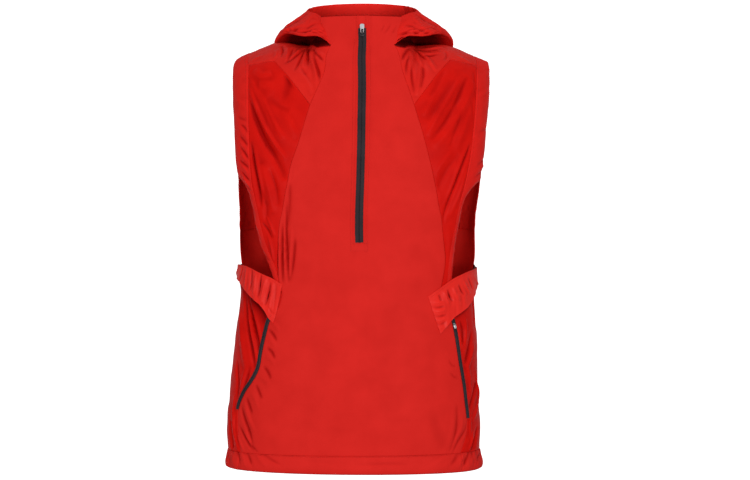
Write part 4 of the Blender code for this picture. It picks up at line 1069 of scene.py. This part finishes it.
# ---------------------------------------------------------------------------------------------------------
# Lower side panels: thin nylon from under the flaps down to the hem, with the pocket openings along their
# front seams.
SIDE_TOP = ((62, -373), (72, -367), (84, -362))  # turns in degrees and heights
# Painted shadow under the flaps: how far it reaches below a flap's edge, and how dark it is.
UNDER_FLAP = {-1: 14, 1: 5}  # how far the cloth stays hidden from the light below a flap
UNDER_FLAP_SHADE = 0.85
SIDE_CREASES = {
    -1: (
        (-192, -389, -185, -433, -177, -480, -170, -521, 4, -5, 0.3),
        (-190, -388, -178, -429, -167, -470, -162, -498, 4, -5, 0.3),
        (-190, -390, -168, -413, -148, -441, 5, -4, 0.2), (-186, -408, -175, -461, -167, -508, 3, 2.4, 0.2),
        (-179, -414, -168, -442, -160, -479, 3, 1.6, 0.2), (-196, -415, -192, -470, -183, -532, 6, 2.2, 0.1),
        (-200, -510, -198, -545, -200, -573, 3.5, -2, 0.3), (-205, -566, -207, -593, -203, -621, 4, 1.6, 0.2),
        (-212, -604, -211, -632, -207, -657, 4, -3.2, 0.3),
        (-203, -590, -205, -622, -198, -656, 3.5, 1.6, 0.2),
        (-186, -522, -190, -544, -196, -570, 4, 1.5, 0.1), (-178, -518, -183, -537, -191, -557, 3, -1.2, 0.2),
    ),
    1: (
        (176, -395, 180, -423, 180, -463, 5, -2.6, 0.2), (149, -448, 154, -467, 157, -493, 2.6, 1.6, 0.3),
        (155, -445, 160, -461, 160, -483, 2.4, -1.6, 0.3), (164, -442, 165, -461, 164, -487, 2.8, 1.6, 0.2),
        (174, -462, 172, -488, 164, -516, 4.4, -2.4, 0.2), (180, -485, 174, -504, 167, -522, 3.6, 2, 0.2),
        (167, -513, 171, -535, 174, -561, 3.6, 1.4, 0.1), (184, -544, 179, -565, 170, -589, 4, -2.6, 0.2),
        (181, -524, 187, -572, 176, -609, 4, 2.2, 0.2), (174, -593, 172, -612, 172, -634, 3, 1.3, 0.2),
        (186, -615, 181, -639, 172, -660, 5, -2.8, 0.2), (177, -622, 174, -641, 167, -662, 3, 1.6, 0.2),
    ),
}


def side_panel(side, name):
    front = front_lines[side]["side"]
    back = side_seam(side, "side")
    angles, heights = np.array(SIDE_TOP, float).T
    top = np.concatenate((front[:1], armband_seam[side][-1:], unroll(*ARMHOLE_EDGE[side][-1], "front")[None],
                          unroll(0, heights, "side", angle=side * angles), back[:1]))
    places = patch(top, np.array((front[-1], back[-1])), front, back, step=2.0)
    places[:, 0] += (places[:, 0] - places[:, 1]) * 1.5  # turned in under the front panel
    around, down = places[..., 0], places[..., 1]
    relief = seam_hold(places, ("left", "right", "low")) * (
        crease_relief(creased(SIDE_CREASES[side], "front", depth=1.6), around, down)
        + 0.9 * uneven(around, down, 17, seed=41 + side, turn=78 * side, stretch=2.6))
    # Painted shadow: the cloth under a flap and just below its edge darkened, less so near the front seam.
    edge = flap_lines[side][1][::10]
    away = np.min(np.hypot(around[..., None] - edge[:, 0], down[..., None] - edge[:, 1]), -1)
    hidden = down < np.interp(side * around, *(edge[np.argsort(side * edge[:, 0])] * (side, 1)).T)
    steps = np.hypot(*np.moveaxis(np.diff(places, axis=1), -1, 0))
    from_seam = np.pad(np.cumsum(steps, 1), ((0, 0), (1, 0)))
    under_flap = UNDER_FLAP_SHADE * np.where(hidden, 1, np.exp(-(away / UNDER_FLAP[side]) ** 2))
    sew(name, places, "side", relief, ALL_ROUND, THIN_CLOTH,
        shade=under_flap * ramp(from_seam, 0, 12))


for side, word in SIDES:
    side_panel(side, "side_" + word)

# ---------------------------------------------------------------------------------------------------------
# Hem: a folded band of the shell cloth round the bottom, in four pieces stitched on under the panels. Elastic
# inside the two side pieces draws them in.
HEM_GATHERS = {0: 0.0, 150: 0.0, 215: 1.0, 340: 1.0, 400: 0.25, 900: 0.2}  # from the front's middle round
HEM_PUFF = {0: -0.3, 0.12: 0.4, 0.35: 1.8, 0.65: 3.2, 0.85: 2.2, 1: -2.6}
HEM_CREASES = creased((
    (-221, -660, -212, -665, -210, -676, 2.2, -1.6, 0.4), (-210, -655, -205, -665, -201, -678, 2.2, 1.3, 0.4),
    (-201, -652, -196, -660, -192, -679, 2.2, -1.5, 0.4), (-194, -652, -188, -664, -182, -679, 2.4, 1.2, 0.4),
    (-184, -653, -178, -663, -171, -680, 2.4, -1.2, 0.4), (-171, -653, -161, -664, -148, -677, 3, 0.9, 0.2),
    (-158, -654, -142, -664, -122, -674, 3, -0.7, 0.2), (190, -660, 183, -666, 179, -680, 2.2, -1.6, 0.4),
    (181, -655, 176, -665, 170, -680, 2.2, 1.3, 0.4), (172, -653, 165, -667, 157, -680, 2.4, -1.7, 0.4),
    (164, -654, 157, -666, 149, -681, 2.4, 1.2, 0.4), (154, -654, 146, -666, 134, -680, 3, -0.9, 0.3),
    (139, -658, 123, -666, 104, -676, 3, 0.7, 0.2), (-97, -655, -50, -660, -3, -659, 4, 0.5, 0.1),
    (-19, -671, 44, -667, 91, -673, 4, -0.5, 0.1),
), "collar")


def hem(name, start, end, half, width, raised):
    top = np.array((start, end), float)
    low = top + np.column_stack(((0, 0), HEM_STITCH - HEM_BOTTOM - np.array(raised)))
    places = patch(top, low, np.array((top[0], low[0])), np.array((top[-1], low[-1])), step=2.2)
    around, down = places[..., 0], places[..., 1]
    fall = np.linspace(0, 1, around.shape[0])[:, None]
    gathers = between(HEM_GATHERS, np.abs(around)) * np.sin(math.pi * (0.15 + 0.7 * fall))
    relief = (between(HEM_PUFF, fall) + 1.5 * crease_relief(HEM_CREASES, around, down)
              + 2.1 * gathers * uneven(around, down, 6.5, seed=61, stretch=4.0)
              + seam_roll(around.shape, ("top",), depth=0.4))
    hem_stitches.append(stitched(places[2, 2:-2], half, relief[2, 2:-2]))
    sew(name, places, half, relief, ("left", "right"), SMOOTH_CLOTH,
        wall=1.6)


hem_stitches = []
left, right = side_seam(-1, "side")[-1], side_seam(1, "side")[-1]
hem("hem_front", *front_low, "collar", 0.40, (2.4, 0))
hem("hem_side_left", left, front_low[0], "side", 0.12, (2.4, 2.4))
hem("hem_side_right", front_low[1], right, "side", 0.12, (0, 0))
hem("hem_back", side_seam(1, "back")[-1], side_seam(-1, "back")[-1], "back", 0.5, (0, 2.4))
beads("hem_stitches", hem_stitches, STITCH, THREAD)

# ---------------------------------------------------------------------------------------------------------
# Hood: two halves of the shell cloth, joined over the middle, that lie down on the shoulders and back. The
# loop of cloth between the rim and the neck seam hangs over itself, and the rim has a band turned in.
RIM = {"half_width": 89, "front": 74, "back": 72, "front_height": 37, "back_height": 77}
RIM_START, NECK_START = 48, 36
# Where the loop's lowest fold lies, at angles round the neck, how far the cloth over it bows out, and how
# deep the hollow under it goes.
HOOD_COLUMNS = ("angle", "across", "depth", "height", "swell", "rim_drop", "hollow")
HOOD = (
    (48, 50, -81, -4, 1, 0.30, 6), (55, 62, -81, 2, 3, 0.32, 16), (62, 76, -76, 6, 6, 0.32, 24),
    (69, 89, -70, 6, 9, 0.32, 28), (76, 102, -60, 8, 15, 0.30, 30), (83, 114, -42, 12, 18, 0.28, 30),
    (90, 126, -24, 15, 19, 0.27, 28), (97, 137, 0, 13, 18, 0.29, 22), (105, 146, 24, 4, 15, 0.33, 14),
    (115, 142, 52, -24, 14, 0.36, 8), (128, 124, 88, -62, 16, 0.34, 4), (145, 88, 118, -100, 18, 0.32, 2),
    (162, 46, 134, -124, 20, 0.30, 2), (180, 0, 140, -132, 20, 0.30, 2),
)
HOOD_SPREAD = {-1: 1.0, 1: 1.035}
HOOD_REST = 3.0  # how far the hood stands off the cloth that it lies on
SEAM_LAP = 0.6  # how far the hood's neck edge reaches into its seam
# Painted light: a lighter copy of the shell cloth, to make up for the light that the hood's sloping halves
# get less of.
HOOD_CLOTH = woven("hood_cloth", (0.75, 0.016, 0.011), (0.69, 0.0135, 0.009), roughness=0.58, shine=0.05)
HOOD_LOOP, HOOD_ROUND = 260, 330  # cloth from the rim to the neck seam, and from the front round to behind
HOOD_CREASES = {
    -1: (
        (6, 72, 40, 80, 80, 92, 112, 98, 9, -2.6, 0), (14, 46, 60, 54, 104, 66, 8, 1.6, 0),
        (50, 22, 80, 36, 112, 54, 6, -1.6, 0.1), (88, 60, 104, 68, 118, 80, 4, -2, 0.2),
        (96, 82, 110, 90, 122, 106, 4, 2.2, 0.2), (92, 12, 108, 18, 120, 24, 3, -1.2, 0.2),
        (30, 110, 70, 118, 110, 124, 9, -2.4, 0),
    ),
    1: (
        (8, 66, 46, 72, 84, 88, 112, 92, 9, -2.2, 0), (20, 40, 62, 52, 100, 56, 8, 1.8, 0),
        (60, 20, 84, 32, 114, 44, 5, -1.5, 0.1), (84, 50, 104, 60, 118, 66, 4, 1.8, 0.2),
        (94, 70, 108, 80, 120, 92, 4, -2.2, 0.2), (16, 104, 60, 112, 108, 116, 9, -2.4, 0),
    ),
}
HOOD_HEM_CREASES = {  # across the band and round from the front
    -1: ((0, 128, 6, 132, 15, 142, 4, -2.2, 0.3), (3, 112, 10, 118, 18, 124, 4, 1.4, 0.2)),
    1: ((0, 206, 6, 198, 18, 202, 3.6, -4, 0.3), (0, 180, 5, 190, 9, 198, 3.6, -3.2, 0.3),
        (2, 150, 8, 158, 16, 160, 4, -2, 0.3), (0, 192, 4, 193, 3, 1.6, 0.2)),
}
# Painted shade: how dark the hollow under the loop is painted past the fold, and how much darker deeper in,
# round the neck.
HOLLOW_EDGE = {0: 0.7, 84: 0.7, 104: 0.45, 150: 0.35, 180: 0.2}
HOLLOW_DEEP = {0: 0.24, 84: 0.24, 104: 0.45, 150: 0.5, 180: 0.2}
HOOD_STATIONS, HOOD_STEPS = 140, 100  # points round the neck, and from the rim to the seam


def bezier(a, b, c, d, t):
    """Points at shares t of a curve from a to d, drawn towards b and c."""
    t = t[:, None]
    return a * (1 - t) ** 3 + b * 3 * t * (1 - t) ** 2 + c * 3 * t * t * (1 - t) + d * t ** 3


def neck_seam(share, side):
    """Where the hood is sewn to the yoke or the back panel, at a share of the way round the neck."""
    turn = math.radians(NECK_START + (180 - NECK_START) * share)
    x = side * NECK_HALF_WIDTH * math.sin(turn)
    if turn < math.pi / 2:
        start = FRONT_SEAM[side]["yoke"][0]
        part = (NECK_HALF_WIDTH - abs(x)) / (NECK_HALF_WIDTH - abs(start[0]))
        height = start[1] * part - 2 * math.sin(math.pi * min(max(part, 0), 1))
        seam = skin(*unroll(x, height, "front"), "front")
    else:
        seam = skin(*unroll(x, BACK_NECK_DROP * math.cos(turn), "back"), "back")
    return seam - (0, 0, SEAM_LAP)


def hood_points(stations, loops, side):
    """Points of one half of the hood, a row for each station round the neck, from the rim to the seam."""
    up_collar = ramp(loops, 0, 0.6) * 0.97 + 0.03 * loops
    border = skin(*resample(front_lines[side]["collar"], up_collar).T, "collar")
    t = np.linspace(0, 1, 120)
    result, folds = [], []
    for share in stations:
        angle = RIM_START + (180 - RIM_START) * share
        at_fold = {column: float(between({row[0]: row[i] for row in HOOD}, angle))
                   for i, column in enumerate(HOOD_COLUMNS) if i}
        turn = math.radians(angle)
        raised = (1 - math.cos(turn)) / 2
        depth = RIM["front"] if angle <= 90 else RIM["back"]
        rim = np.array((side * RIM["half_width"] * math.sin(turn), -depth * math.cos(turn),
                        RIM["front_height"] + (RIM["back_height"] - RIM["front_height"]) * raised))
        seam = neck_seam(share, side)
        fold = np.array((side * at_fold["across"] * HOOD_SPREAD[side], at_fold["depth"], at_fold["height"]))
        run = fold - rim
        out = np.array((side * math.sin(turn), -math.cos(turn), 0))
        bow = out * at_fold["swell"]
        over = bezier(rim, rim + (0, 0, at_fold["rim_drop"] * run[2]) + bow * 0.6,
                      fold - run * (0.42, 0.42, 0.3) + bow * 1.5, fold, t)
        back, sunk = seam - fold, -out * at_fold["hollow"]
        under = bezier(fold, fold + back * 0.2 + sunk * 0.8 + (0, 0, 3),
                       seam - back * 0.2 + sunk + (0, 0, 9), seam, t)
        loop = np.concatenate((over, under[1:]))
        lengths = np.concatenate(([0], np.cumsum(np.linalg.norm(np.diff(loop, axis=0), axis=1))))
        folds.append(lengths[119] / lengths[-1])
        shares = np.linspace(0, 1, 241)
        reach = max(1, round(3 / lengths[-1] * 240))
        loop = [blurred(np.interp(shares * lengths[-1], lengths, loop[:, k]), reach) for k in range(3)]
        row = np.stack([np.interp(loops, shares, loop[k]) for k in range(3)], -1)
        leaving = min(1.0, share / 0.1)
        leaving = leaving * leaving * (3 - 2 * leaving)
        edge = border + (seam - border[-1]) * ramp(loops, 0.6, 1)[:, None]
        row = row * leaving + edge * (1 - leaving)
        if share > 0.05:
            row = np.where(loops[:, None] > 0.45, rest_on_body(row), row)
        row[-1] = seam
        result.append(row)
    return np.array(result), np.array(folds)


def rest_on_body(points):
    """Points of the hood moved up and back to where they lie on the shoulders and the back."""
    x, y, z = points.T
    centre = np.interp(z, LEVELS, FORM["centre"])
    width = np.interp(z, LEVELS, FORM["half_width"])
    across = np.abs(x - centre)
    over = across < width * 0.99
    ridge = top_edge(x, z, "front")
    rest = np.maximum(z, ridge + HOOD_REST - np.abs(y) * 0.35)
    z2 = np.where(over & (across >= NECK_HALF_WIDTH) & (np.abs(y) < 25) & (z < ridge + HOOD_REST), rest, z)
    behind = skin(*unroll(x, z2, "back").T, "back")[..., 1] + HOOD_REST
    y2 = np.where(over & (y > 0), np.maximum(y, behind), y)
    return np.stack((x, y2, z2), -1)


def grid_normals(points):
    a, b = np.gradient(points, axis=0), np.gradient(points, axis=1)
    away = np.cross(a, b)
    return away / np.maximum(np.linalg.norm(away, axis=-1, keepdims=True), 1e-9)


def hood_half(side, name):
    stations, loops = np.linspace(0, 1, HOOD_STATIONS), np.linspace(0, 1, HOOD_STEPS)
    points, folds = hood_points(stations, loops, side)
    away = grid_normals(points) * -side
    flat = np.stack(np.meshgrid(loops * HOOD_LOOP, stations * HOOD_ROUND), -1)
    around, down = flat[..., 0], flat[..., 1]
    to_middle = ramp(down, HOOD_ROUND, HOOD_ROUND - 12)
    behind = (ramp(down, 110, 190) * ramp(around, 0, 30)
              * ramp(around, HOOD_LOOP, HOOD_LOOP - 30))
    at_fold = (np.exp(-((around - 118) / 16) ** 2) * ramp(down, 6, 22)
               * ramp(down, 125, 75))
    relief = (crease_relief(creased(HOOD_CREASES[side]), around, down)
              + 3.6 * at_fold * uneven(around, down, 13, seed=83 + side, stretch=0.8)
              + 2.2 * behind * to_middle * uneven(
                  around, down, 34, seed=71 + side, turn=30 * side, stretch=1.8)
              + 0.5 * uneven(around, down, 15, seed=75 + side) * to_middle * ramp(down, 0, 30))
    points = points + away * relief[..., None]
    points[-1, :, 0] = side * 0.02
    # Painted shade in the hollow under the loop, past its fold, and in the hood's creases.
    past_fold = loops[None, :] - folds[:, None]
    hollow = (ramp(past_fold, 0.005, 0.035) * between(HOLLOW_EDGE, down)
              + ramp(past_fold, 0.07, 0.17) * between(HOLLOW_DEEP, down))
    shade = np.maximum(trough_shade(relief), hollow)
    cloth = shell(name + "_cloth", points + away * 0.3, points - away * 0.3, flat, HOOD_CLOTH, shade)
    declare(cloth, name)
    return points, away


hood_halves = [hood_half(side, "hood_" + word) for side, word in SIDES]
HOOD_HEM_WIDTH = 19
# Painted light: the hood's cloth in a lighter colour, to make up for the shade that the hood casts on its
# turned-in band.
HEM_BAND_CLOTH = woven("hood_hem_cloth", (0.95, 0.021, 0.014), (0.88, 0.018, 0.012), roughness=0.58,
                       shine=0.08)


def hood_hem():
    """The band turned in along the rim, from one end of the front panel's top round to the other."""
    width = HOOD_HEM_WIDTH
    across = np.array((0.0, 0.5, 2, 6, 10, 14, width - 1.5, width - 0.4, width))
    sides = []
    for points, away in hood_halves:
        steps = np.linalg.norm(np.diff(points, axis=1), axis=2)
        lengths = np.concatenate((np.zeros((len(points), 1)), np.cumsum(steps, 1)), 1)
        rows = [[np.stack([np.interp(across, lengths[k], grid[k, :, c]) for c in range(3)], -1)
                 for k in range(2, len(points))] for grid in (points, away)]
        sides.append([np.array(row) for row in rows])
    round_from_front = np.linspace(2 / (HOOD_STATIONS - 1), 1, len(sides[0][0])) * HOOD_ROUND
    spots = np.meshgrid(across, round_from_front)
    folds = [crease_relief(creased(HOOD_HEM_CREASES[side]), *spots) for side in (-1, 1)]
    relief = np.concatenate((folds[0], folds[1][-2::-1]))
    points, away = [np.concatenate((sides[0][k], sides[1][k][-2::-1])) for k in (0, 1)]
    points[:, 0, 2] += 0.5
    lift = np.array((0.2, 0.35, 0.45, 0.45, 0.45, 0.45, 0.45, 0.5, 0.6))[None, :, None] + relief[..., None]
    steps = np.linalg.norm(np.diff(points[:, 4], axis=0), axis=1)
    flat = np.stack(np.meshgrid(across, np.concatenate(([0], np.cumsum(steps)))), -1)
    # Painted shade in the band's creases.
    cloth = shell("hood_hem_cloth", points - away * lift, points - away * (lift + 0.7), flat, HEM_BAND_CLOTH,
                  np.clip(-relief * 0.55, 0, 0.85))
    declare(cloth, "hood_hem")
    beads("hood_hem_stitches", [(points - away * (lift + 0.8))[2:-2, 6]], STITCH, THREAD)


hood_hem()

# ---------------------------------------------------------------------------------------------------------
# Front zip: black woven tape with a reversed nylon coil, sewn behind the folded edges of the front panel. The
# tape is turned over each row of the coil, which shows as small ribs on both sides of the slit.
ZIP_TAPE = woven("zip_tape", (0.027, 0.018, 0.023), (0.015, 0.011, 0.014), roughness=0.62, shine=0.25,
                 thread=0.8, bump=0.6)
TAPE_STEP, TAPE_WALL = 1.5, 0.4
TAPE_PROFILE = (  # distance from the middle, and height off the cloth under the tape
    (-6.5, 0.15), (-6.2, 0.55), (-2.2, 0.6), (-1.7, 1.05), (-0.9, 1.3), (-0.3, 1.0), (-0.08, 0.45),
    (0.08, 0.45), (0.3, 1.0), (0.9, 1.3), (1.7, 1.05), (2.2, 0.6), (6.2, 0.55), (6.5, 0.15))
COIL_RIBS = {"Pitch": 0.00135, "Along": 0.00048, "Deep": 0.0004, "Wide": 0.00085}  # metres


def beside(path, half, away, lift):
    """Points at a distance to the right of a line on the cloth, lifted off the form, in millimetres."""
    points, normals = skin(*path.T, half), outward(*path.T, half)
    across = np.cross(np.gradient(points, axis=0), -normals)
    across /= np.linalg.norm(across, axis=-1, keepdims=True)
    return points + across * away + normals * np.asarray(lift)[..., None]


def even(path):
    """A line's points, TAPE_STEP apart."""
    return resample(path, np.linspace(0, 1, round(length_of(path) / TAPE_STEP) + 1))


def zip_tape(name, node, path, half, profile, lift):
    """A tape and the coil's ridge along it, from a profile across them."""
    outer = np.stack([beside(path, half, x, z + lift) for x, z in profile], 1)
    inner = np.stack([beside(path, half, x, np.minimum(z, 0.5) - TAPE_WALL + lift) for x, z in profile], 1)
    flat = np.stack(np.meshgrid([x for x, _ in profile], np.arange(len(path)) * TAPE_STEP), -1)
    attach(shell(name, outer, inner, flat, ZIP_TAPE), node)


def coil_ribs(name, path, half, away, lift, sizes):
    """Ribs over the two rows of a zip's coil, at a distance from its middle."""
    beads(name, [beside(path, half, x, lift) for x in (-away, away)], sizes, ZIP_TAPE)


zip_path = even(ZIP_LINE)
zip_lift = front_waves(*zip_path.T) + 0.3
zip_tape("front_zip_tape", "front_zip", zip_path, "collar", TAPE_PROFILE, zip_lift)
coil_ribs("front_zip_ribs", zip_path, "collar", 0.95, zip_lift + 1.15, COIL_RIBS)

# ---------------------------------------------------------------------------------------------------------
# Pocket zips: the same tape and coil, narrower, sewn along the front seams of the lower side panels. The
# panels' creases run up to them.
POCKET_ZIP_ENDS = {-1: (-436, -588), 1: (-438, -602)}  # heights
POCKET_RIBS = {"Pitch": 0.00125, "Along": 0.00044, "Deep": 0.00036, "Wide": 0.00066}
POCKET_PROFILE = tuple((x * 0.5 if abs(x) > 3 else x * 0.8, z * 0.9) for x, z in TAPE_PROFILE)
for side, word in SIDES:
    top, low = (SHOULDER_ARC - SHOULDER_DROP - height for height in POCKET_ZIP_ENDS[side])
    seam = front_lines[side]["side"]
    path = even(seam[(seam[:, 1] > top) & (seam[:, 1] < low)])
    lift = np.maximum(front_relief(path[:, 0] - side * 3, path[:, 1]), 0) + 0.75
    zip_tape("pocket_zip_tape_" + word, "pocket_zip_" + word, path, "side", POCKET_PROFILE, lift)
    coil_ribs("pocket_zip_ribs_" + word, path, "side", 0.75, lift + 1.0, POCKET_RIBS)

# ---------------------------------------------------------------------------------------------------------
# Sliders and pulls: die-cast zinc. The slider is finished dark, with its edges worn brighter, and the pull is
# plain bright metal, hung by its eye on the arch over the slider so that it swings.
SLIDER = {"width": 10, "height": 12, "floor": 1.65, "rod": 0.66, "bridge": 2.4, "bridge_wall": 0.75,
          "bridge_height": 3.3, "play": 0.3, "pull_width": 7, "pull_length": 14}
# Each slider's own frame: X across the zip, Y into the cloth, Z up the zip, and its place in metres.
ZIP_FRAME = Matrix((
    (1, 0, 0, 0), (0, 0.988812, 0.149167, -0.078664), (0, -0.149167, 0.988812, 0.010298), (0, 0, 0, 1)))
POCKET_FRAME = Matrix((
    (0.797289, -0.571758, -0.193448, 0.145209), (0.55835, 0.820366, -0.123469, -0.082916),
    (0.229293, -0.009571, 0.97331, -0.449587), (0, 0, 0, 1)))
POCKET_SCALE = 0.62


def cast_metal(name, colour, worn, roughness, metallic=0.6):
    """Cast metal: fine speckle in its colour and gloss, and brighter worn patches."""
    material = bpy.data.materials.new(name)
    material.use_nodes = True
    shader = material.node_tree.nodes["Principled BSDF"]
    shader.inputs["Metallic"].default_value = metallic
    place = added(material, "TexCoord")
    grain = added(material, "TexNoise", {"Scale": 2600})
    wear = added(material, "TexNoise", {"Scale": 420, "Detail": 3})
    patches = added(material, "MapRange", {"From Min": 0.45, "From Max": 0.7})
    mix = added(material, "Mix", {"A": (*colour, 1), "B": (*worn, 1)}, data_type="RGBA")
    gloss = added(material, "MapRange", {"To Min": roughness - 0.08, "To Max": roughness + 0.1})
    pits = added(material, "Bump", {"Strength": 0.15, "Distance": 0.00004})
    wire(material.node_tree, (
        (place, "Object", grain, "Vector"), (place, "Object", wear, "Vector"),
        (wear, "Fac", patches, "Value"), (patches, "Result", mix, "Factor"),
        (mix, "Result", shader, "Base Color"), (grain, "Fac", gloss, "Value"),
        (gloss, "Result", shader, "Roughness"), (grain, "Fac", pits, "Height"),
        (pits, "Normal", shader, "Normal")))
    return material


SLIDER_METAL = cast_metal("slider_dark_metal", (0.014, 0.013, 0.016), (0.06, 0.06, 0.064), roughness=0.34)
PULL_METAL = cast_metal("pull_bright_metal", (0.66, 0.66, 0.68), (0.86, 0.86, 0.87), roughness=0.3)


def rounded(outline, times=2):
    """A closed outline with its corners cut off a number of times."""
    line = np.asarray(outline, float)
    for _ in range(times):
        after = np.roll(line, -1, axis=0)
        line = np.stack((line * 0.75 + after * 0.25, line * 0.25 + after * 0.75), 1).reshape(-1, 2)
    return line


def rings(name, layers, frame, material, closed_loop=False):
    """A solid through rings of points in a slider's frame, in millimetres."""
    count = len(layers[0])
    points = np.concatenate(layers) * 0.001
    faces = []
    for k in range(len(layers) if closed_loop else len(layers) - 1):
        a, b = k * count, (k + 1) % len(layers) * count
        faces += [(a + i, a + (i + 1) % count, b + (i + 1) % count, b + i) for i in range(count)]
    if not closed_loop:
        faces += [tuple(range(count))[::-1], tuple(range(len(points) - count, len(points)))]
    mesh = bpy.data.meshes.new(name)
    mesh.from_pydata(points.tolist(), [], faces)
    work = bmesh.new()
    work.from_mesh(mesh)
    bmesh.ops.recalc_face_normals(work, faces=work.faces[:])
    work.transform(frame)
    work.to_mesh(mesh)
    work.free()
    mesh.shade_smooth()
    mesh.set_sharp_from_angle(angle=math.radians(38))
    mesh.materials.append(material)
    return placed(name, mesh)


def joined_piece(name, pieces):
    """One object made of several pieces in the same material."""
    work = bmesh.new()
    for piece in pieces:
        work.from_mesh(piece.data)
    mesh = bpy.data.meshes.new(name)
    work.to_mesh(mesh)
    work.free()
    mesh.materials.append(pieces[0].data.materials[0])
    for piece in pieces:
        bpy.data.objects.remove(piece)
    return placed(name, mesh)


def slider(name, size, frame, node):
    wing, tall, floor = size["width"] / 2, size["height"] / 2, size["floor"]
    outline = rounded(((-wing * 0.62, tall), (wing * 0.62, tall), (wing, tall * 0.1), (wing * 0.8, -tall),
                       (-wing * 0.8, -tall), (-wing, tall * 0.1)))
    layers = [np.column_stack((outline[:, 0] * k, np.full(len(outline), -d), outline[:, 1] * k)) for k, d in (
        (0.97, 0), (1.0, 0.12 * floor), (1.0, 0.72 * floor), (0.965, 0.9 * floor), (0.89, floor))]
    plate = rings(name + "_plate", layers, frame, SLIDER_METAL)
    high, half, thick = size["bridge_height"], size["bridge"] / 2, size["bridge_wall"]
    arch = rounded(((-tall * 0.7, -0.3), (-tall * 0.62, high * 0.55), (-tall * 0.4, high - thick / 2),
                    (tall * 0.4, high - thick / 2), (tall * 0.62, high * 0.55), (tall * 0.7, -0.3)))
    arch = resample(arch[2:-1], np.linspace(0, 1, 22))
    slope = np.gradient(arch, axis=0)
    slope /= np.linalg.norm(slope, axis=1, keepdims=True)
    turns = np.linspace(0, 2 * math.pi, 11)[:-1]
    loops = []
    for (z, rise), (dz, dr) in zip(arch, slope):
        x = np.sign(np.cos(turns)) * np.abs(np.cos(turns)) ** 0.6 * half
        off = np.sign(np.sin(turns)) * np.abs(np.sin(turns)) ** 0.6 * thick / 2
        loops.append(np.column_stack((x, -(floor + rise + off * dz), z - off * dr)))
    bridge = rings(name + "_bridge", loops, frame, SLIDER_METAL)
    attach(joined_piece(name, [plate, bridge]), node)


def pull(name, size, frame, angle, body):
    rod, play = size["rod"], size["play"]
    half, length = size["pull_width"] / 2, size["pull_length"]
    eye = size["bridge"] / 2 + play * 7 / 6
    arm = eye + rod * 1.6
    outline = rounded((
        (-arm, -rod), (arm, -rod), (arm, length * 0.3), (half, length * 0.62), (half, length * 0.9),
        (half * 0.6, length), (-half * 0.6, length), (-half, length * 0.9), (-half, length * 0.62),
        (-arm, length * 0.3)))
    top = size["height"] * 0.375 + play * 4
    hole = rounded((
        (-eye, rod), (eye, rod), (eye, top * 0.5), (eye, top * 0.75), (eye * 0.8, top), (eye * 0.3, top),
        (-eye * 0.3, top), (-eye * 0.8, top), (-eye, top * 0.75), (-eye, top * 0.5)), 1)
    hole = resample(np.concatenate((hole, hole[:1])), np.arange(len(outline)) / len(outline))
    first = np.argmin(np.hypot(*(hole - hole[0]).T))
    start = np.argmin(np.hypot(outline[:, 0] - hole[first][0] * 1.2, outline[:, 1] - hole[first][1] + rod))
    outline = np.roll(outline, -start, axis=0)

    def ring(line, depth, inset):
        toward = line.mean(0) - line
        line = line + toward / np.linalg.norm(toward, axis=1, keepdims=True) * inset
        return np.column_stack((line[:, 0], np.full(len(line), depth * rod), line[:, 1]))

    layers = [ring(outline, *row) for row in ((-1, 0.35), (-0.55, 0.0), (0.55, 0.0), (1, 0.35))]
    layers += [ring(hole, *row) for row in ((1, -0.2), (0.5, 0.0), (-0.5, 0.0), (-1, -0.2))]
    hinge = Matrix.Translation(Vector((0, -size["floor"] - rod - play, 0)) * 0.001)
    turned = frame @ hinge @ Matrix.Rotation(math.radians(angle), 4, "X")
    attach(rings(name, layers, turned, PULL_METAL, True), body, body)


slider("zip_slider_cast", SLIDER, ZIP_FRAME, "zip_slider")
pull("zip_pull_tab", SLIDER, ZIP_FRAME, 0, "zip_pull")
small = {key: value * POCKET_SCALE for key, value in SLIDER.items()}
slider("pocket_slider_cast", small, POCKET_FRAME, "pocket_slider")
pull("pocket_pull_tab", small, POCKET_FRAME, 180, "pocket_pull")
